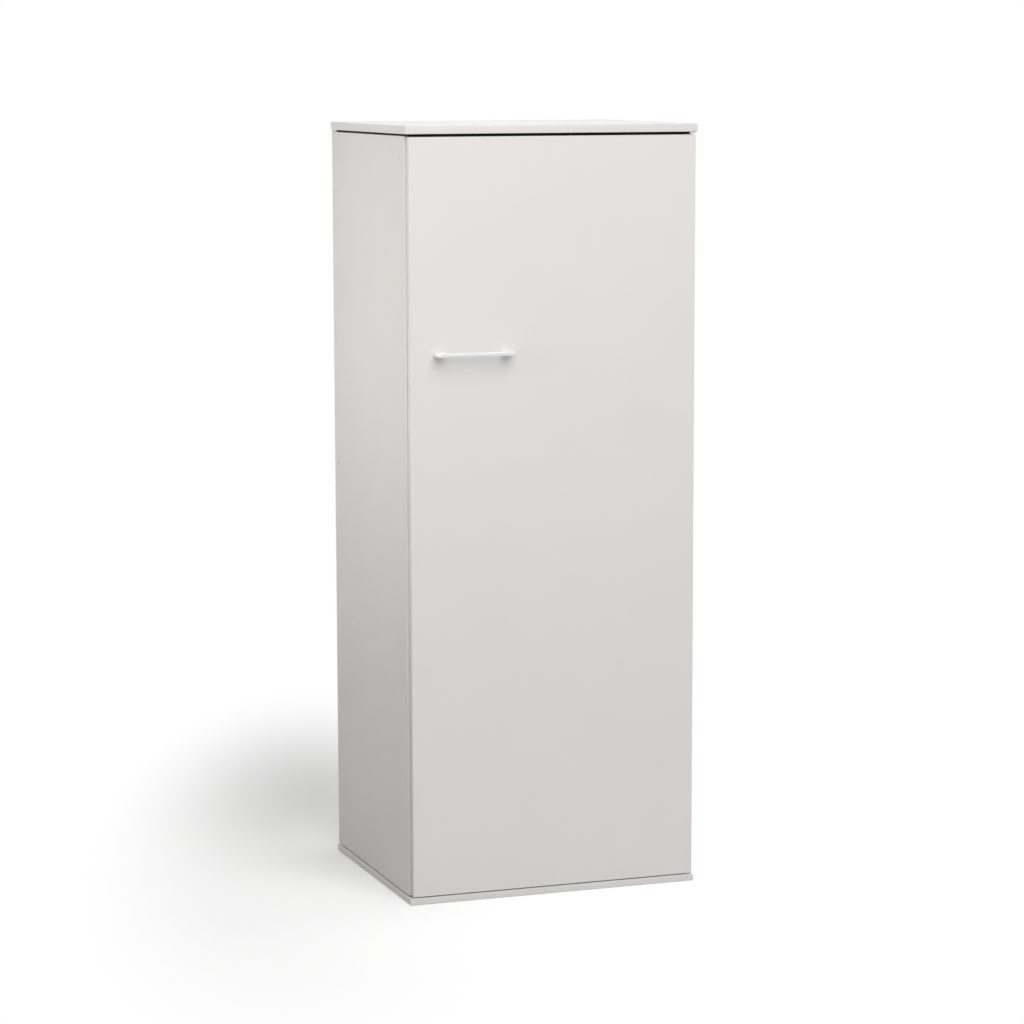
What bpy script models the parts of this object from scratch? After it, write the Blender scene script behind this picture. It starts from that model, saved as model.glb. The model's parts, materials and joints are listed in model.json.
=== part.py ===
"""Single-door wardrobe in white melamine-faced board.

A carcass of sides, top, bottom and back stands between a top panel and a base panel, held off both by dark
spacer strips and, at the top, white pads. One full-overlay door hangs on concealed cup hinges on the right
and has a bar handle on the left. Inside are a hat shelf on pins and a clothes rail. Metres, +Z up, front
towards -Y, the origin on the floor under the middle of the whole outline, handle included.
"""

import math

import bmesh
import bpy
from mathutils import Matrix, Vector

# Overall sizes of the top and base panels, and the height
WIDTH = 0.600
DEPTH = 0.500
HEIGHT = 1.520

# Boards
TOP_PANEL_THICKNESS = 0.016
BASE_PANEL_THICKNESS = 0.0135
SIDE_THICKNESS = 0.016
CARCASS_BOARD_THICKNESS = 0.016
BACK_THICKNESS = 0.016
SHELF_THICKNESS = 0.016
DOOR_THICKNESS = 0.016
EDGE_ROUNDING = 0.001
SIDE_OVERHANG = 0.0025
FRONT_OVERHANG = 0.002
BACK_INSET = 0.016
SHELF_SETBACK = 0.030

# Clearances
SEAT_GAP = 0.0003
DOOR_GAP = 0.002
DOOR_LEFT_REVEAL = 0.004
DOOR_RIGHT_REVEAL = 0.0005
DOOR_TOP_GAP = 0.0056
DOOR_BOTTOM_GAP = 0.0022

# Spacer strips between the carcass and the two outer panels, and the pads that end the top ones
TOP_SPACER_GAP = 0.0042
BASE_SPACER_GAP = 0.0022
STRIP_WIDTH = 0.018
STRIP_INSET = 0.006
STRIP_FRONT_SETBACK = 0.001
STRIP_REAR_SETBACK = 0.030
STRIP_JOINT = 0.001
PAD_LENGTH = 0.013

# Bar handle and its two screws
HANDLE_LENGTH = 0.160
HANDLE_CENTRE_FROM_DOOR_EDGE = 0.127
HANDLE_HEIGHT = 1.083
HANDLE_PROJECTION = 0.030
HANDLE_BAR_HEIGHT = 0.008
HANDLE_BAR_DEPTH = 0.009
HANDLE_BAR_ROUNDING = 0.003
HANDLE_FOOT_LENGTH = 0.022
HANDLE_FOOT_HEIGHT = 0.011
HANDLE_FOOT_ROUNDING = 0.002
HANDLE_SCREW_RADIUS = 0.002
HANDLE_SCREW_GRIP = 0.012
HANDLE_SCREW_HEAD_RADIUS = 0.0045
HANDLE_SCREW_HEAD_HEIGHT = 0.0025

# Concealed cup hinges: the cup pin sits in the door, the arm pin on the carcass side
HINGE_COUNT = 3
HINGE_END_DISTANCE = 0.110
CUP_RADIUS = 0.0175
CUP_DEPTH = 0.0125
CUP_WALL = 0.001
CUP_CENTRE_FROM_EDGE = 0.0225
CUP_FLANGE_THICKNESS = 0.001
CUP_FLANGE_WIDTH = 0.026
CUP_FLANGE_LENGTH = 0.062
CUP_PIN_DEPTH = 0.0025
PIN_TO_CUP_WALL = 0.0044
LINK_KNEE_REACH = 0.0051
LINK_CUP_LIMB_RADIUS = 0.003
LINK_ARM_LIMB_RADIUS = 0.0028
LINK_PLATE_THICKNESS = 0.0017
HINGE_PIN_RADIUS = 0.0015
TONGUE_HALF_WIDTH = 0.004
ARM_HALF_WIDTH = 0.008
ARM_LENGTH = 0.062
ARM_SHOULDER = 0.003
ARM_THICKNESS = 0.008
ARM_ROUNDING = 0.0015
ARM_NOSE_RADIUS = 0.0035
ARM_NOSE_TO_CUP_FLOOR = 0.0017
PLATE_BASE_THICKNESS = 0.003
PLATE_LENGTH = 0.052
PLATE_DEPTH = 0.018
PLATE_START = 0.028
RISER_LENGTH = 0.034

# Hat shelf pins and clothes rail
HAT_SPACE_HEIGHT = 0.2495
PIN_RADIUS = 0.0025
PIN_INSERT = 0.009
PIN_REACH = 0.008
PIN_FROM_SHELF_EDGE = 0.060
RAIL_RADIUS = 0.0125
RAIL_WALL = 0.0012
RAIL_DROP = 0.060
SOCKET_WALL = 0.003
SOCKET_LENGTH = 0.014
SOCKET_FLANGE_RADIUS = 0.024
SOCKET_FLANGE_THICKNESS = 0.003

# Screws through the sides into the back panel
BACK_SCREW_FROM_TOP = 0.1205
BACK_SCREW_FROM_BOTTOM = 0.1715
BACK_SCREW_MIDDLE_RISE = 0.0405
BACK_SCREW_RADIUS = 0.002
BACK_SCREW_HEAD_RADIUS = 0.0035
BACK_SCREW_HEAD_HEIGHT = 0.003
BACK_SCREW_GRIP = 0.030

# Plugs in the joining holes of the sides
PLUG_RADIUS = 0.0025
PLUG_INSERT = 0.008
PLUG_HEAD_RADIUS = 0.0035
PLUG_HEAD_THICKNESS = 0.0007
PLUG_UPPER_FROM_TOP = 0.0415
PLUG_UPPER_FROM_FRONT = 0.030
PLUG_UPPER_FROM_REAR = 0.102
PLUG_LOWER_FROM_FRONT = 0.074
PLUG_LOWER_FROM_REAR = 0.0745
PLUG_LOWER_FRONT_RISE = 0.3075
PLUG_LOWER_REAR_RISE = 0.244

# Door bumpers on the left side's front edge
BUMPER_RADIUS = 0.004
BUMPER_FROM_DOOR_EDGE = 0.0065
BUMPER_END_DISTANCE = 0.060

# Facets round a turned piece, and round a hinge cup or the rail
TURNED_STEPS = 16
WIDE_STEPS = 32

# Planes worked out from the sizes above
HANDLE_BEYOND_PANEL = HANDLE_PROJECTION - FRONT_OVERHANG
PANEL_FRONT = HANDLE_BEYOND_PANEL - (DEPTH + HANDLE_BEYOND_PANEL) / 2
PANEL_BACK = PANEL_FRONT + DEPTH
DOOR_FRONT = PANEL_FRONT + FRONT_OVERHANG
DOOR_BACK = DOOR_FRONT + DOOR_THICKNESS
CARCASS_FRONT = DOOR_BACK + DOOR_GAP
SIDE_OUTER = WIDTH / 2 - SIDE_OVERHANG
SIDE_INNER = SIDE_OUTER - SIDE_THICKNESS
CARCASS_LOW = BASE_PANEL_THICKNESS + BASE_SPACER_GAP
CARCASS_HIGH = HEIGHT - TOP_PANEL_THICKNESS - TOP_SPACER_GAP
DOOR_LOW = BASE_PANEL_THICKNESS + DOOR_BOTTOM_GAP
DOOR_HIGH = HEIGHT - TOP_PANEL_THICKNESS - DOOR_TOP_GAP
DOOR_LEFT = DOOR_LEFT_REVEAL - SIDE_OUTER
DOOR_RIGHT = SIDE_OUTER - DOOR_RIGHT_REVEAL
BACK_REAR = PANEL_BACK - BACK_INSET
BACK_FRONT = BACK_REAR - BACK_THICKNESS
SHELF_HEIGHT = CARCASS_HIGH - CARCASS_BOARD_THICKNESS - HAT_SPACE_HEIGHT - SHELF_THICKNESS

# The hinge's pins, as far apart as its links fit between the walls of the cup, and the knee of its links
LINK_HALF_WIDTH = TONGUE_HALF_WIDTH + SEAT_GAP + LINK_PLATE_THICKNESS
CUP_X = DOOR_RIGHT - CUP_CENTRE_FROM_EDGE
CUP_FLOOR = DOOR_BACK + SEAT_GAP - CUP_DEPTH + CUP_WALL
PIN_OFFSET = math.sqrt((CUP_RADIUS - CUP_WALL) ** 2 - LINK_HALF_WIDTH**2) - PIN_TO_CUP_WALL
CUP_PIN = Vector((CUP_X + PIN_OFFSET, DOOR_BACK - CUP_PIN_DEPTH, 0))
ARM_PIN = Vector((CUP_X - PIN_OFFSET, CUP_FLOOR + ARM_NOSE_TO_CUP_FLOOR + ARM_NOSE_RADIUS, 0))
LINK_KNEE = Vector((CUP_PIN.x - LINK_KNEE_REACH, CUP_FLOOR + SEAT_GAP + LINK_CUP_LIMB_RADIUS, 0))

# Finishes: colour, roughness, metallic value
FINISHES = {
    "white melamine": ((0.80, 0.79, 0.775), 0.45, 0.0),
    "white lacquered metal": ((0.86, 0.86, 0.87), 0.30, 0.0),
    "black plastic": ((0.012, 0.014, 0.020), 0.55, 0.0),
    "nickel-plated steel": ((0.62, 0.61, 0.58), 0.28, 1.0),
    "zinc-plated steel": ((0.55, 0.56, 0.57), 0.38, 1.0),
    "chromed steel": ((0.72, 0.72, 0.73), 0.12, 1.0),
    "white plastic": ((0.78, 0.775, 0.76), 0.40, 0.0),
    "clear silicone": ((0.70, 0.70, 0.69), 0.30, 0.0),
}

X_AXIS = Vector((1, 0, 0))
Y_AXIS = Vector((0, 1, 0))
Z_AXIS = Vector((0, 0, 1))


def clear_scene():
    for obj in list(bpy.data.objects):
        bpy.data.objects.remove(obj, do_unlink=True)


def new_collection(name):
    collection = bpy.data.collections.new(name)
    bpy.context.scene.collection.children.link(collection)
    return collection


def finish_material(name, finish):
    """A material of the piece's own, from the named finish."""
    colour, roughness, metallic = FINISHES[finish]
    material = bpy.data.materials.new(f"{name} {finish}")
    material.use_nodes = True
    shader = material.node_tree.nodes["Principled BSDF"]
    shader.inputs["Base Color"].default_value = (*colour, 1)
    shader.inputs["Roughness"].default_value = roughness
    shader.inputs["Metallic"].default_value = metallic
    material.diffuse_color = (*colour, 1)
    return material


def mesh_from(name, fill):
    """A mesh whose shape the function fill puts into an empty bmesh."""
    shape = bmesh.new()
    fill(shape)
    mesh = bpy.data.meshes.new(name)
    shape.to_mesh(mesh)
    shape.free()
    return mesh


def add_piece(name, mesh, finish, place=Vector(), carrier=None):
    """A visible piece at a world place, on its carrier's joint axis if it moves."""
    piece = bpy.data.objects.new(name, mesh)
    PIECES.objects.link(piece)
    piece.location = place
    if carrier:
        piece.parent = carrier
        piece.location = place - carrier.location
    mesh.materials.append(finish_material(name, finish))
    return piece


def add_helper(name, mesh):
    """A cutter or a shape to be joined on, kept out of the picture."""
    helper = bpy.data.objects.new(name, mesh)
    CUTTERS.objects.link(helper)
    helper.hide_render = True
    helper.display_type = "WIRE"
    return helper


def round_edges(piece, width, segments=2):
    bevel = piece.modifiers.new("rounded edges", "BEVEL")
    bevel.width = width
    bevel.segments = segments
    bevel.limit_method = "ANGLE"


def combine(piece, helper, operation):
    boolean = piece.modifiers.new(helper.name, "BOOLEAN")
    boolean.operation = operation
    boolean.solver = "EXACT"
    boolean.object = helper


def put_box(shape, low, high):
    """A box between two corners."""
    low, high = Vector(low), Vector(high)
    made = bmesh.ops.create_cube(shape, size=1)["verts"]
    bmesh.ops.scale(shape, vec=high - low, verts=made)
    bmesh.ops.translate(shape, vec=(low + high) / 2, verts=made)


def put_cylinder(shape, start, axis, length, radius, segments=TURNED_STEPS):
    """A cylinder from its start, along an axis."""
    turn = axis.to_track_quat("Z", "Y").to_matrix().to_4x4()
    middle = Matrix.Translation(Vector(start) + axis * (length / 2))
    bmesh.ops.create_cone(
        shape,
        cap_ends=True,
        segments=segments,
        radius1=radius,
        radius2=radius,
        depth=length,
        matrix=middle @ turn,
    )


def put_bar(shape, first, second, axis, length, radius):
    """A bar with two round ends: the hull of two equal cylinders that stand side by side."""
    for start in (first, second):
        put_cylinder(shape, start, axis, length, radius)
    hull = bmesh.ops.convex_hull(shape, input=shape.verts)
    spare = hull["geom_interior"] + hull["geom_unused"]
    inside = [item for item in spare if isinstance(item, bmesh.types.BMVert)]
    bmesh.ops.delete(shape, geom=inside, context="VERTS")
    bmesh.ops.dissolve_limit(shape, angle_limit=math.radians(1), verts=shape.verts, edges=shape.edges)


def box_mesh(name, low, high):
    return mesh_from(name, lambda shape: put_box(shape, low, high))


def add_board(name, low, high, finish="white melamine", carrier=None, rounding=EDGE_ROUNDING):
    """A board between two world corners, its edges lightly rounded."""
    low, high = Vector(low), Vector(high)
    place = (low + high) / 2
    board = add_piece(name, box_mesh(name, low - place, high - place), finish, place, carrier)
    round_edges(board, rounding)
    return board


def drill(board, purpose, holes, segments=TURNED_STEPS):
    """Cuts round holes, each a world start, a direction, a length and a radius."""
    name = f"{board.name} {purpose}"

    def fill(shape):
        for start, axis, length, radius in holes:
            put_cylinder(shape, start, axis, length, radius, segments)

    combine(board, add_helper(name, mesh_from(name, fill)), "DIFFERENCE")


def add_turned(name, profile, finish, place, axis, carrier=None):
    """A turned piece: a profile of radius and height, from the top of its axis to the bottom, spun once."""
    mesh = bpy.data.meshes.new(name)
    points = [(radius, 0, height) for radius, height in profile]
    mesh.from_pydata(points, [(i, i + 1) for i in range(len(points) - 1)], [])
    piece = add_piece(name, mesh, finish, place, carrier)
    piece.rotation_euler = axis.to_track_quat("Z", "Y").to_euler()
    spin = piece.modifiers.new("turned", "SCREW")
    spin.steps = TURNED_STEPS
    spin.render_steps = TURNED_STEPS
    spin.use_merge_vertices = True
    spin.merge_threshold = 0.00001
    spin.use_smooth_shade = True
    return piece


def add_axis(name, place):
    """An empty on a joint's axis, which carries the pieces that turn about it."""
    axis = bpy.data.objects.new(name, None)
    PIECES.objects.link(axis)
    axis.location = place
    axis.empty_display_size = 0.02
    return axis


def outer_panels():
    half = WIDTH / 2
    add_board("top_panel", (-half, PANEL_FRONT, HEIGHT - TOP_PANEL_THICKNESS), (half, PANEL_BACK, HEIGHT))
    add_board("base_panel", (-half, PANEL_FRONT, 0), (half, PANEL_BACK, BASE_PANEL_THICKNESS))


def spacer_strips():
    """Four strips in each gap: front and rear run across, left and right fit between them.

    The top's front strip also fills the gap over the door, as far as a white pad at its right end, and two
    more pads close the top gap behind the rear strip.
    """
    outer = WIDTH / 2 - STRIP_INSET
    front_rear = CARCASS_FRONT + STRIP_WIDTH
    rear = PANEL_BACK - STRIP_REAR_SETBACK
    side_front = front_rear + STRIP_JOINT
    side_rear = rear - STRIP_WIDTH - STRIP_JOINT
    top_front_end = SIDE_OUTER - PAD_LENGTH - STRIP_JOINT
    fronts = {
        "top": ((-outer, DOOR_FRONT), (top_front_end, front_rear)),
        "base": ((-outer, CARCASS_FRONT + STRIP_FRONT_SETBACK), (outer, front_rear)),
    }
    levels = {
        "top": (CARCASS_HIGH + SEAT_GAP, HEIGHT - TOP_PANEL_THICKNESS - SEAT_GAP),
        "base": (BASE_PANEL_THICKNESS + SEAT_GAP, CARCASS_LOW - SEAT_GAP),
    }

    def lay(name, near, far, level, finish):
        low, high = levels[level]
        add_piece(name, box_mesh(name, (*near, low), (*far, high)), finish)

    for level in levels:
        spans = {
            "front": fronts[level],
            "rear": ((-outer, rear - STRIP_WIDTH), (outer, rear)),
            "left": ((-outer, side_front), (-outer + STRIP_WIDTH, side_rear)),
            "right": ((outer - STRIP_WIDTH, side_front), (outer, side_rear)),
        }
        for where, (near, far) in spans.items():
            lay(f"{level}_spacer_{where}", near, far, level, "black plastic")
    inner = SIDE_OUTER - STRIP_WIDTH
    pad_front = rear + STRIP_JOINT
    pads = {
        "front_right": ((SIDE_OUTER - PAD_LENGTH, DOOR_FRONT), (SIDE_OUTER, front_rear)),
        "rear_left": ((-SIDE_OUTER, pad_front), (-inner, PANEL_BACK)),
        "rear_right": ((inner, pad_front), (SIDE_OUTER, PANEL_BACK)),
    }
    for where, (near, far) in pads.items():
        lay(f"top_pad_{where}", near, far, "top", "white plastic")


def plug_places():
    """Depth and height of each plugged joining hole, the same on both sides."""
    upper = CARCASS_HIGH - PLUG_UPPER_FROM_TOP
    return (
        (CARCASS_FRONT + PLUG_UPPER_FROM_FRONT, upper),
        (PANEL_BACK - PLUG_UPPER_FROM_REAR, upper),
        (CARCASS_FRONT + PLUG_LOWER_FROM_FRONT, CARCASS_LOW + PLUG_LOWER_FRONT_RISE),
        (PANEL_BACK - PLUG_LOWER_FROM_REAR, CARCASS_LOW + PLUG_LOWER_REAR_RISE),
    )


def shelf_span():
    """The shelf's front and rear planes."""
    return CARCASS_FRONT + SHELF_SETBACK, BACK_FRONT - SEAT_GAP


def pin_places():
    """Depth and height of the axis of each shelf pin, the same on both sides."""
    front, rear = shelf_span()
    height = SHELF_HEIGHT - SEAT_GAP - PIN_RADIUS
    return ((front + PIN_FROM_SHELF_EDGE, height), (rear - PIN_FROM_SHELF_EDGE, height))


def back_screw_places():
    """Depth and height of each back screw, in the middle of the back panel's edge."""
    low = CARCASS_LOW + BACK_SCREW_FROM_BOTTOM
    high = CARCASS_HIGH - BACK_SCREW_FROM_TOP
    middle = (low + high) / 2 + BACK_SCREW_MIDDLE_RISE
    return [((BACK_FRONT + BACK_REAR) / 2, height) for height in (low, middle, high)]


def carcass_boards():
    inner = SIDE_INNER - SEAT_GAP
    board = CARCASS_BOARD_THICKNESS
    add_board(
        "carcass_top",
        (-inner, CARCASS_FRONT, CARCASS_HIGH - board),
        (inner, PANEL_BACK, CARCASS_HIGH),
    )
    add_board(
        "carcass_bottom",
        (-inner, CARCASS_FRONT, CARCASS_LOW),
        (inner, PANEL_BACK, CARCASS_LOW + board),
    )
    back = add_board(
        "back_panel",
        (-inner, BACK_FRONT, CARCASS_LOW + board + SEAT_GAP),
        (inner, BACK_REAR, CARCASS_HIGH - board - SEAT_GAP),
    )
    screw_hole = BACK_SCREW_RADIUS + SEAT_GAP
    depth = BACK_SCREW_GRIP + SEAT_GAP
    drill(
        back,
        "screw holes",
        [
            (Vector((hand * (inner + SEAT_GAP), y, z)), -hand * X_AXIS, depth, screw_hole)
            for hand in (-1, 1)
            for y, z in back_screw_places()
        ],
    )
    front, rear = shelf_span()
    add_board(
        "hat_shelf",
        (-inner, front, SHELF_HEIGHT),
        (inner, rear, SHELF_HEIGHT + SHELF_THICKNESS),
    )


def side_boards():
    """The two sides, with their screw, plug and pin holes."""
    for side, hand in (("left", -1), ("right", 1)):
        near, far = sorted((hand * SIDE_INNER, hand * SIDE_OUTER))
        board = add_board(
            f"side_{side}",
            (near, CARCASS_FRONT, CARCASS_LOW),
            (far, PANEL_BACK, CARCASS_HIGH),
        )
        outward = hand * X_AXIS
        past = SIDE_THICKNESS + 2 * SEAT_GAP
        holes = []
        for y, z in back_screw_places():
            through = Vector((hand * (SIDE_INNER - SEAT_GAP), y, z))
            holes.append((through, outward, past, BACK_SCREW_RADIUS + SEAT_GAP))
        for y, z in plug_places():
            mouth = Vector((hand * (SIDE_OUTER + SEAT_GAP), y, z))
            holes.append((mouth, -outward, PLUG_INSERT + 2 * SEAT_GAP, PLUG_RADIUS + SEAT_GAP))
        for y, z in pin_places():
            mouth = Vector((hand * (SIDE_INNER - SEAT_GAP), y, z))
            holes.append((mouth, outward, PIN_INSERT + 2 * SEAT_GAP, PIN_RADIUS + SEAT_GAP))
        drill(board, "holes", holes)
        sinks = []
        for y, z in back_screw_places():
            mouth = Vector((hand * (SIDE_OUTER + SEAT_GAP), y, z))
            depth = BACK_SCREW_HEAD_HEIGHT + 2 * SEAT_GAP
            sinks.append((mouth, -outward, depth, BACK_SCREW_HEAD_RADIUS + SEAT_GAP))
        drill(board, "screw sinks", sinks)


def side_fasteners():
    """Back screws, hole plugs and shelf pins of both sides."""
    head = BACK_SCREW_HEAD_HEIGHT
    stem = SIDE_THICKNESS - head + BACK_SCREW_GRIP
    screw_profile = [
        (0, 0),
        (BACK_SCREW_HEAD_RADIUS, 0),
        (BACK_SCREW_HEAD_RADIUS, -head / 2),
        (BACK_SCREW_RADIUS, -head),
        (BACK_SCREW_RADIUS, -head - stem + BACK_SCREW_RADIUS),
        (0, -head - stem),
    ]
    plug_profile = [
        (0, PLUG_HEAD_THICKNESS),
        (PLUG_RADIUS, PLUG_HEAD_THICKNESS),
        (PLUG_HEAD_RADIUS, PLUG_HEAD_THICKNESS / 2),
        (PLUG_HEAD_RADIUS, 0),
        (PLUG_RADIUS, 0),
        (PLUG_RADIUS, -PLUG_INSERT),
        (0, -PLUG_INSERT),
    ]
    pin_profile = [
        (0, PIN_REACH),
        (PIN_RADIUS, PIN_REACH),
        (PIN_RADIUS, -PIN_INSERT),
        (0, -PIN_INSERT),
    ]
    for side, hand in (("left", -1), ("right", 1)):
        outward = hand * X_AXIS
        for number, (y, z) in enumerate(back_screw_places(), 1):
            place = Vector((hand * SIDE_OUTER, y, z))
            add_turned(f"back_screw_{side}_{number}", screw_profile, "zinc-plated steel", place, outward)
        for number, (y, z) in enumerate(plug_places(), 1):
            place = Vector((hand * (SIDE_OUTER + SEAT_GAP), y, z))
            add_turned(f"hole_plug_{side}_{number}", plug_profile, "white plastic", place, outward)
        for where, (y, z) in zip(("front", "rear"), pin_places()):
            place = Vector((hand * (SIDE_INNER - SEAT_GAP), y, z))
            add_turned(f"shelf_pin_{side}_{where}", pin_profile, "nickel-plated steel", place, -outward)


def clothes_rail():
    """A round tube between two blind sockets on the sides, in the middle of the hanging depth."""
    height = SHELF_HEIGHT - RAIL_DROP
    depth = (CARCASS_FRONT + BACK_FRONT) / 2
    socket_face = SIDE_INNER - SEAT_GAP
    end = socket_face - SOCKET_FLANGE_THICKNESS - SEAT_GAP

    def fill(shape):
        turn = X_AXIS.to_track_quat("Z", "Y").to_matrix().to_4x4()
        bmesh.ops.create_cone(
            shape,
            cap_ends=False,
            segments=WIDE_STEPS,
            radius1=RAIL_RADIUS,
            radius2=RAIL_RADIUS,
            depth=2 * end,
            matrix=turn,
        )

    place = Vector((0, depth, height))
    rail = add_piece("clothes_rail", mesh_from("clothes_rail", fill), "chromed steel", place)
    wall = rail.modifiers.new("tube wall", "SOLIDIFY")
    wall.thickness = RAIL_WALL
    wall.offset = -1
    bore = RAIL_RADIUS + SEAT_GAP
    rim = bore + SOCKET_WALL
    profile = [
        (0, SOCKET_FLANGE_THICKNESS),
        (bore, SOCKET_FLANGE_THICKNESS),
        (bore, SOCKET_LENGTH),
        (rim, SOCKET_LENGTH),
        (rim, SOCKET_FLANGE_THICKNESS),
        (SOCKET_FLANGE_RADIUS, SOCKET_FLANGE_THICKNESS),
        (SOCKET_FLANGE_RADIUS, 0),
        (0, 0),
    ]
    for side, hand in (("left", -1), ("right", 1)):
        place = Vector((hand * socket_face, depth, height))
        add_turned(f"rail_socket_{side}", profile, "chromed steel", place, -hand * X_AXIS)


def door_bumpers():
    """Two soft dots on the left side's front edge, which the closed door rests on."""
    thickness = DOOR_GAP - 2 * SEAT_GAP
    profile = [
        (0, thickness),
        (BUMPER_RADIUS - thickness / 2, thickness),
        (BUMPER_RADIUS, thickness / 2),
        (BUMPER_RADIUS, 0),
        (0, 0),
    ]
    middle = DOOR_LEFT + BUMPER_FROM_DOOR_EDGE
    heights = {"upper": DOOR_HIGH - BUMPER_END_DISTANCE, "lower": DOOR_LOW + BUMPER_END_DISTANCE}
    for where, height in heights.items():
        place = Vector((middle, CARCASS_FRONT - SEAT_GAP, height))
        add_turned(f"door_bumper_{where}", profile, "clear silicone", place, -Y_AXIS)


def hinge_heights():
    """Evenly spaced between the two end distances."""
    low = DOOR_LOW + HINGE_END_DISTANCE
    high = DOOR_HIGH - HINGE_END_DISTANCE
    return [low + (high - low) * i / (HINGE_COUNT - 1) for i in range(HINGE_COUNT)]


def handle_screw_places():
    """Where the two handle screws cross the door, left to right."""
    centre = DOOR_LEFT + HANDLE_CENTRE_FROM_DOOR_EDGE
    reach = (HANDLE_LENGTH - HANDLE_FOOT_LENGTH) / 2
    return [Vector((centre + hand * reach, 0, HANDLE_HEIGHT)) for hand in (-1, 1)]


def door_board(axis):
    """The door, with its cup pockets and handle holes."""
    door = add_board(
        "door",
        (DOOR_LEFT, DOOR_FRONT, DOOR_LOW),
        (DOOR_RIGHT, DOOR_BACK, DOOR_HIGH),
        carrier=axis,
    )
    pockets = []
    for height in hinge_heights():
        mouth = Vector((CUP_X, DOOR_BACK + SEAT_GAP, height))
        pockets.append((mouth, -Y_AXIS, CUP_DEPTH + 2 * SEAT_GAP, CUP_RADIUS + SEAT_GAP))
    drill(door, "cup pockets", pockets, WIDE_STEPS)
    holes = []
    for place in handle_screw_places():
        mouth = place + Y_AXIS * (DOOR_BACK + SEAT_GAP)
        past = DOOR_THICKNESS + 2 * SEAT_GAP
        holes.append((mouth, -Y_AXIS, past, HANDLE_SCREW_RADIUS + SEAT_GAP))
    drill(door, "screw holes", holes)


def bar_handle(axis):
    """A bar carried on two feet with round ends, drilled from behind for its screws."""
    left, right = handle_screw_places()
    centre = (left + right) / 2
    foot_radius = HANDLE_FOOT_HEIGHT / 2
    foot_half = HANDLE_FOOT_LENGTH / 2 - foot_radius
    foot_back = DOOR_FRONT - SEAT_GAP
    front = DOOR_FRONT - HANDLE_PROJECTION

    def feet(place):
        def fill(shape):
            ends = [place + X_AXIS * (hand * foot_half) + Y_AXIS * foot_back for hand in (-1, 1)]
            put_bar(shape, *ends, -Y_AXIS, foot_back - front, foot_radius)

        return fill

    def bar(shape):
        half = Vector((right.x - centre.x, 0, HANDLE_BAR_HEIGHT / 2))
        low = centre - half + Y_AXIS * (front + SEAT_GAP)
        high = centre + half + Y_AXIS * (front + SEAT_GAP + HANDLE_BAR_DEPTH)
        put_box(shape, low, high)

    handle = add_piece("handle", mesh_from("handle", bar), "white lacquered metal", carrier=axis)
    round_edges(handle, HANDLE_BAR_ROUNDING)
    for name, place in (("left handle foot", left), ("right handle foot", right)):
        foot = add_helper(name, mesh_from(name, feet(place)))
        round_edges(foot, HANDLE_FOOT_ROUNDING)
        combine(handle, foot, "UNION")
    hole_depth = HANDLE_SCREW_GRIP + 2 * SEAT_GAP
    drill(
        handle,
        "screw holes",
        [
            (place + Y_AXIS * (foot_back + SEAT_GAP), -Y_AXIS, hole_depth, HANDLE_SCREW_RADIUS + SEAT_GAP)
            for place in (left, right)
        ],
    )
    head = HANDLE_SCREW_HEAD_HEIGHT
    stem = DOOR_THICKNESS + 2 * SEAT_GAP + HANDLE_SCREW_GRIP
    profile = [
        (0, head),
        (HANDLE_SCREW_HEAD_RADIUS - head / 2, head),
        (HANDLE_SCREW_HEAD_RADIUS, head / 2),
        (HANDLE_SCREW_HEAD_RADIUS, 0),
        (HANDLE_SCREW_RADIUS, 0),
        (HANDLE_SCREW_RADIUS, -stem),
        (0, -stem),
    ]
    for side, place in (("left", left), ("right", right)):
        seat = place + Y_AXIS * (DOOR_BACK + SEAT_GAP)
        add_turned(f"handle_screw_{side}", profile, "zinc-plated steel", seat, Y_AXIS, axis)


def hinge_cup(number, height, axis):
    """A pressed cup with a flange on the door's back, and a tongue inside that carries the cup pin."""
    name = f"hinge_cup_{number}"
    centre = Vector((CUP_X, DOOR_BACK + SEAT_GAP, height))
    pin = CUP_PIN + Z_AXIS * height

    def body(shape):
        rim = centre + Y_AXIS * CUP_FLANGE_THICKNESS
        put_cylinder(shape, rim, -Y_AXIS, CUP_FLANGE_THICKNESS + CUP_DEPTH, CUP_RADIUS, WIDE_STEPS)

    def flange(shape):
        radius = CUP_FLANGE_WIDTH / 2
        reach = Z_AXIS * (CUP_FLANGE_LENGTH / 2 - radius)
        put_bar(shape, centre - reach, centre + reach, Y_AXIS, CUP_FLANGE_THICKNESS, radius)

    def hollow(shape):
        mouth = centre + Y_AXIS * (CUP_FLANGE_THICKNESS + SEAT_GAP)
        put_cylinder(shape, mouth, -Y_AXIS, mouth.y - CUP_FLOOR, CUP_RADIUS - CUP_WALL, WIDE_STEPS)

    def tongue(shape):
        eye = pin - Z_AXIS * TONGUE_HALF_WIDTH
        root = Vector((eye.x, CUP_FLOOR - CUP_WALL / 2 + LINK_CUP_LIMB_RADIUS, eye.z))
        put_bar(shape, eye, root, Z_AXIS, 2 * TONGUE_HALF_WIDTH, LINK_CUP_LIMB_RADIUS)

    cup = add_piece(name, mesh_from(name, body), "nickel-plated steel", carrier=axis)
    for part, fill, operation in (
        ("flange", flange, "UNION"),
        ("hollow", hollow, "DIFFERENCE"),
        ("tongue", tongue, "UNION"),
    ):
        combine(cup, add_helper(f"{name} {part}", mesh_from(f"{name} {part}", fill)), operation)
    start = pin - Z_AXIS * (TONGUE_HALF_WIDTH + SEAT_GAP)
    hole = (start, Z_AXIS, 2 * (TONGUE_HALF_WIDTH + SEAT_GAP), HINGE_PIN_RADIUS + SEAT_GAP)
    drill(cup, "pin hole", [hole])


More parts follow.
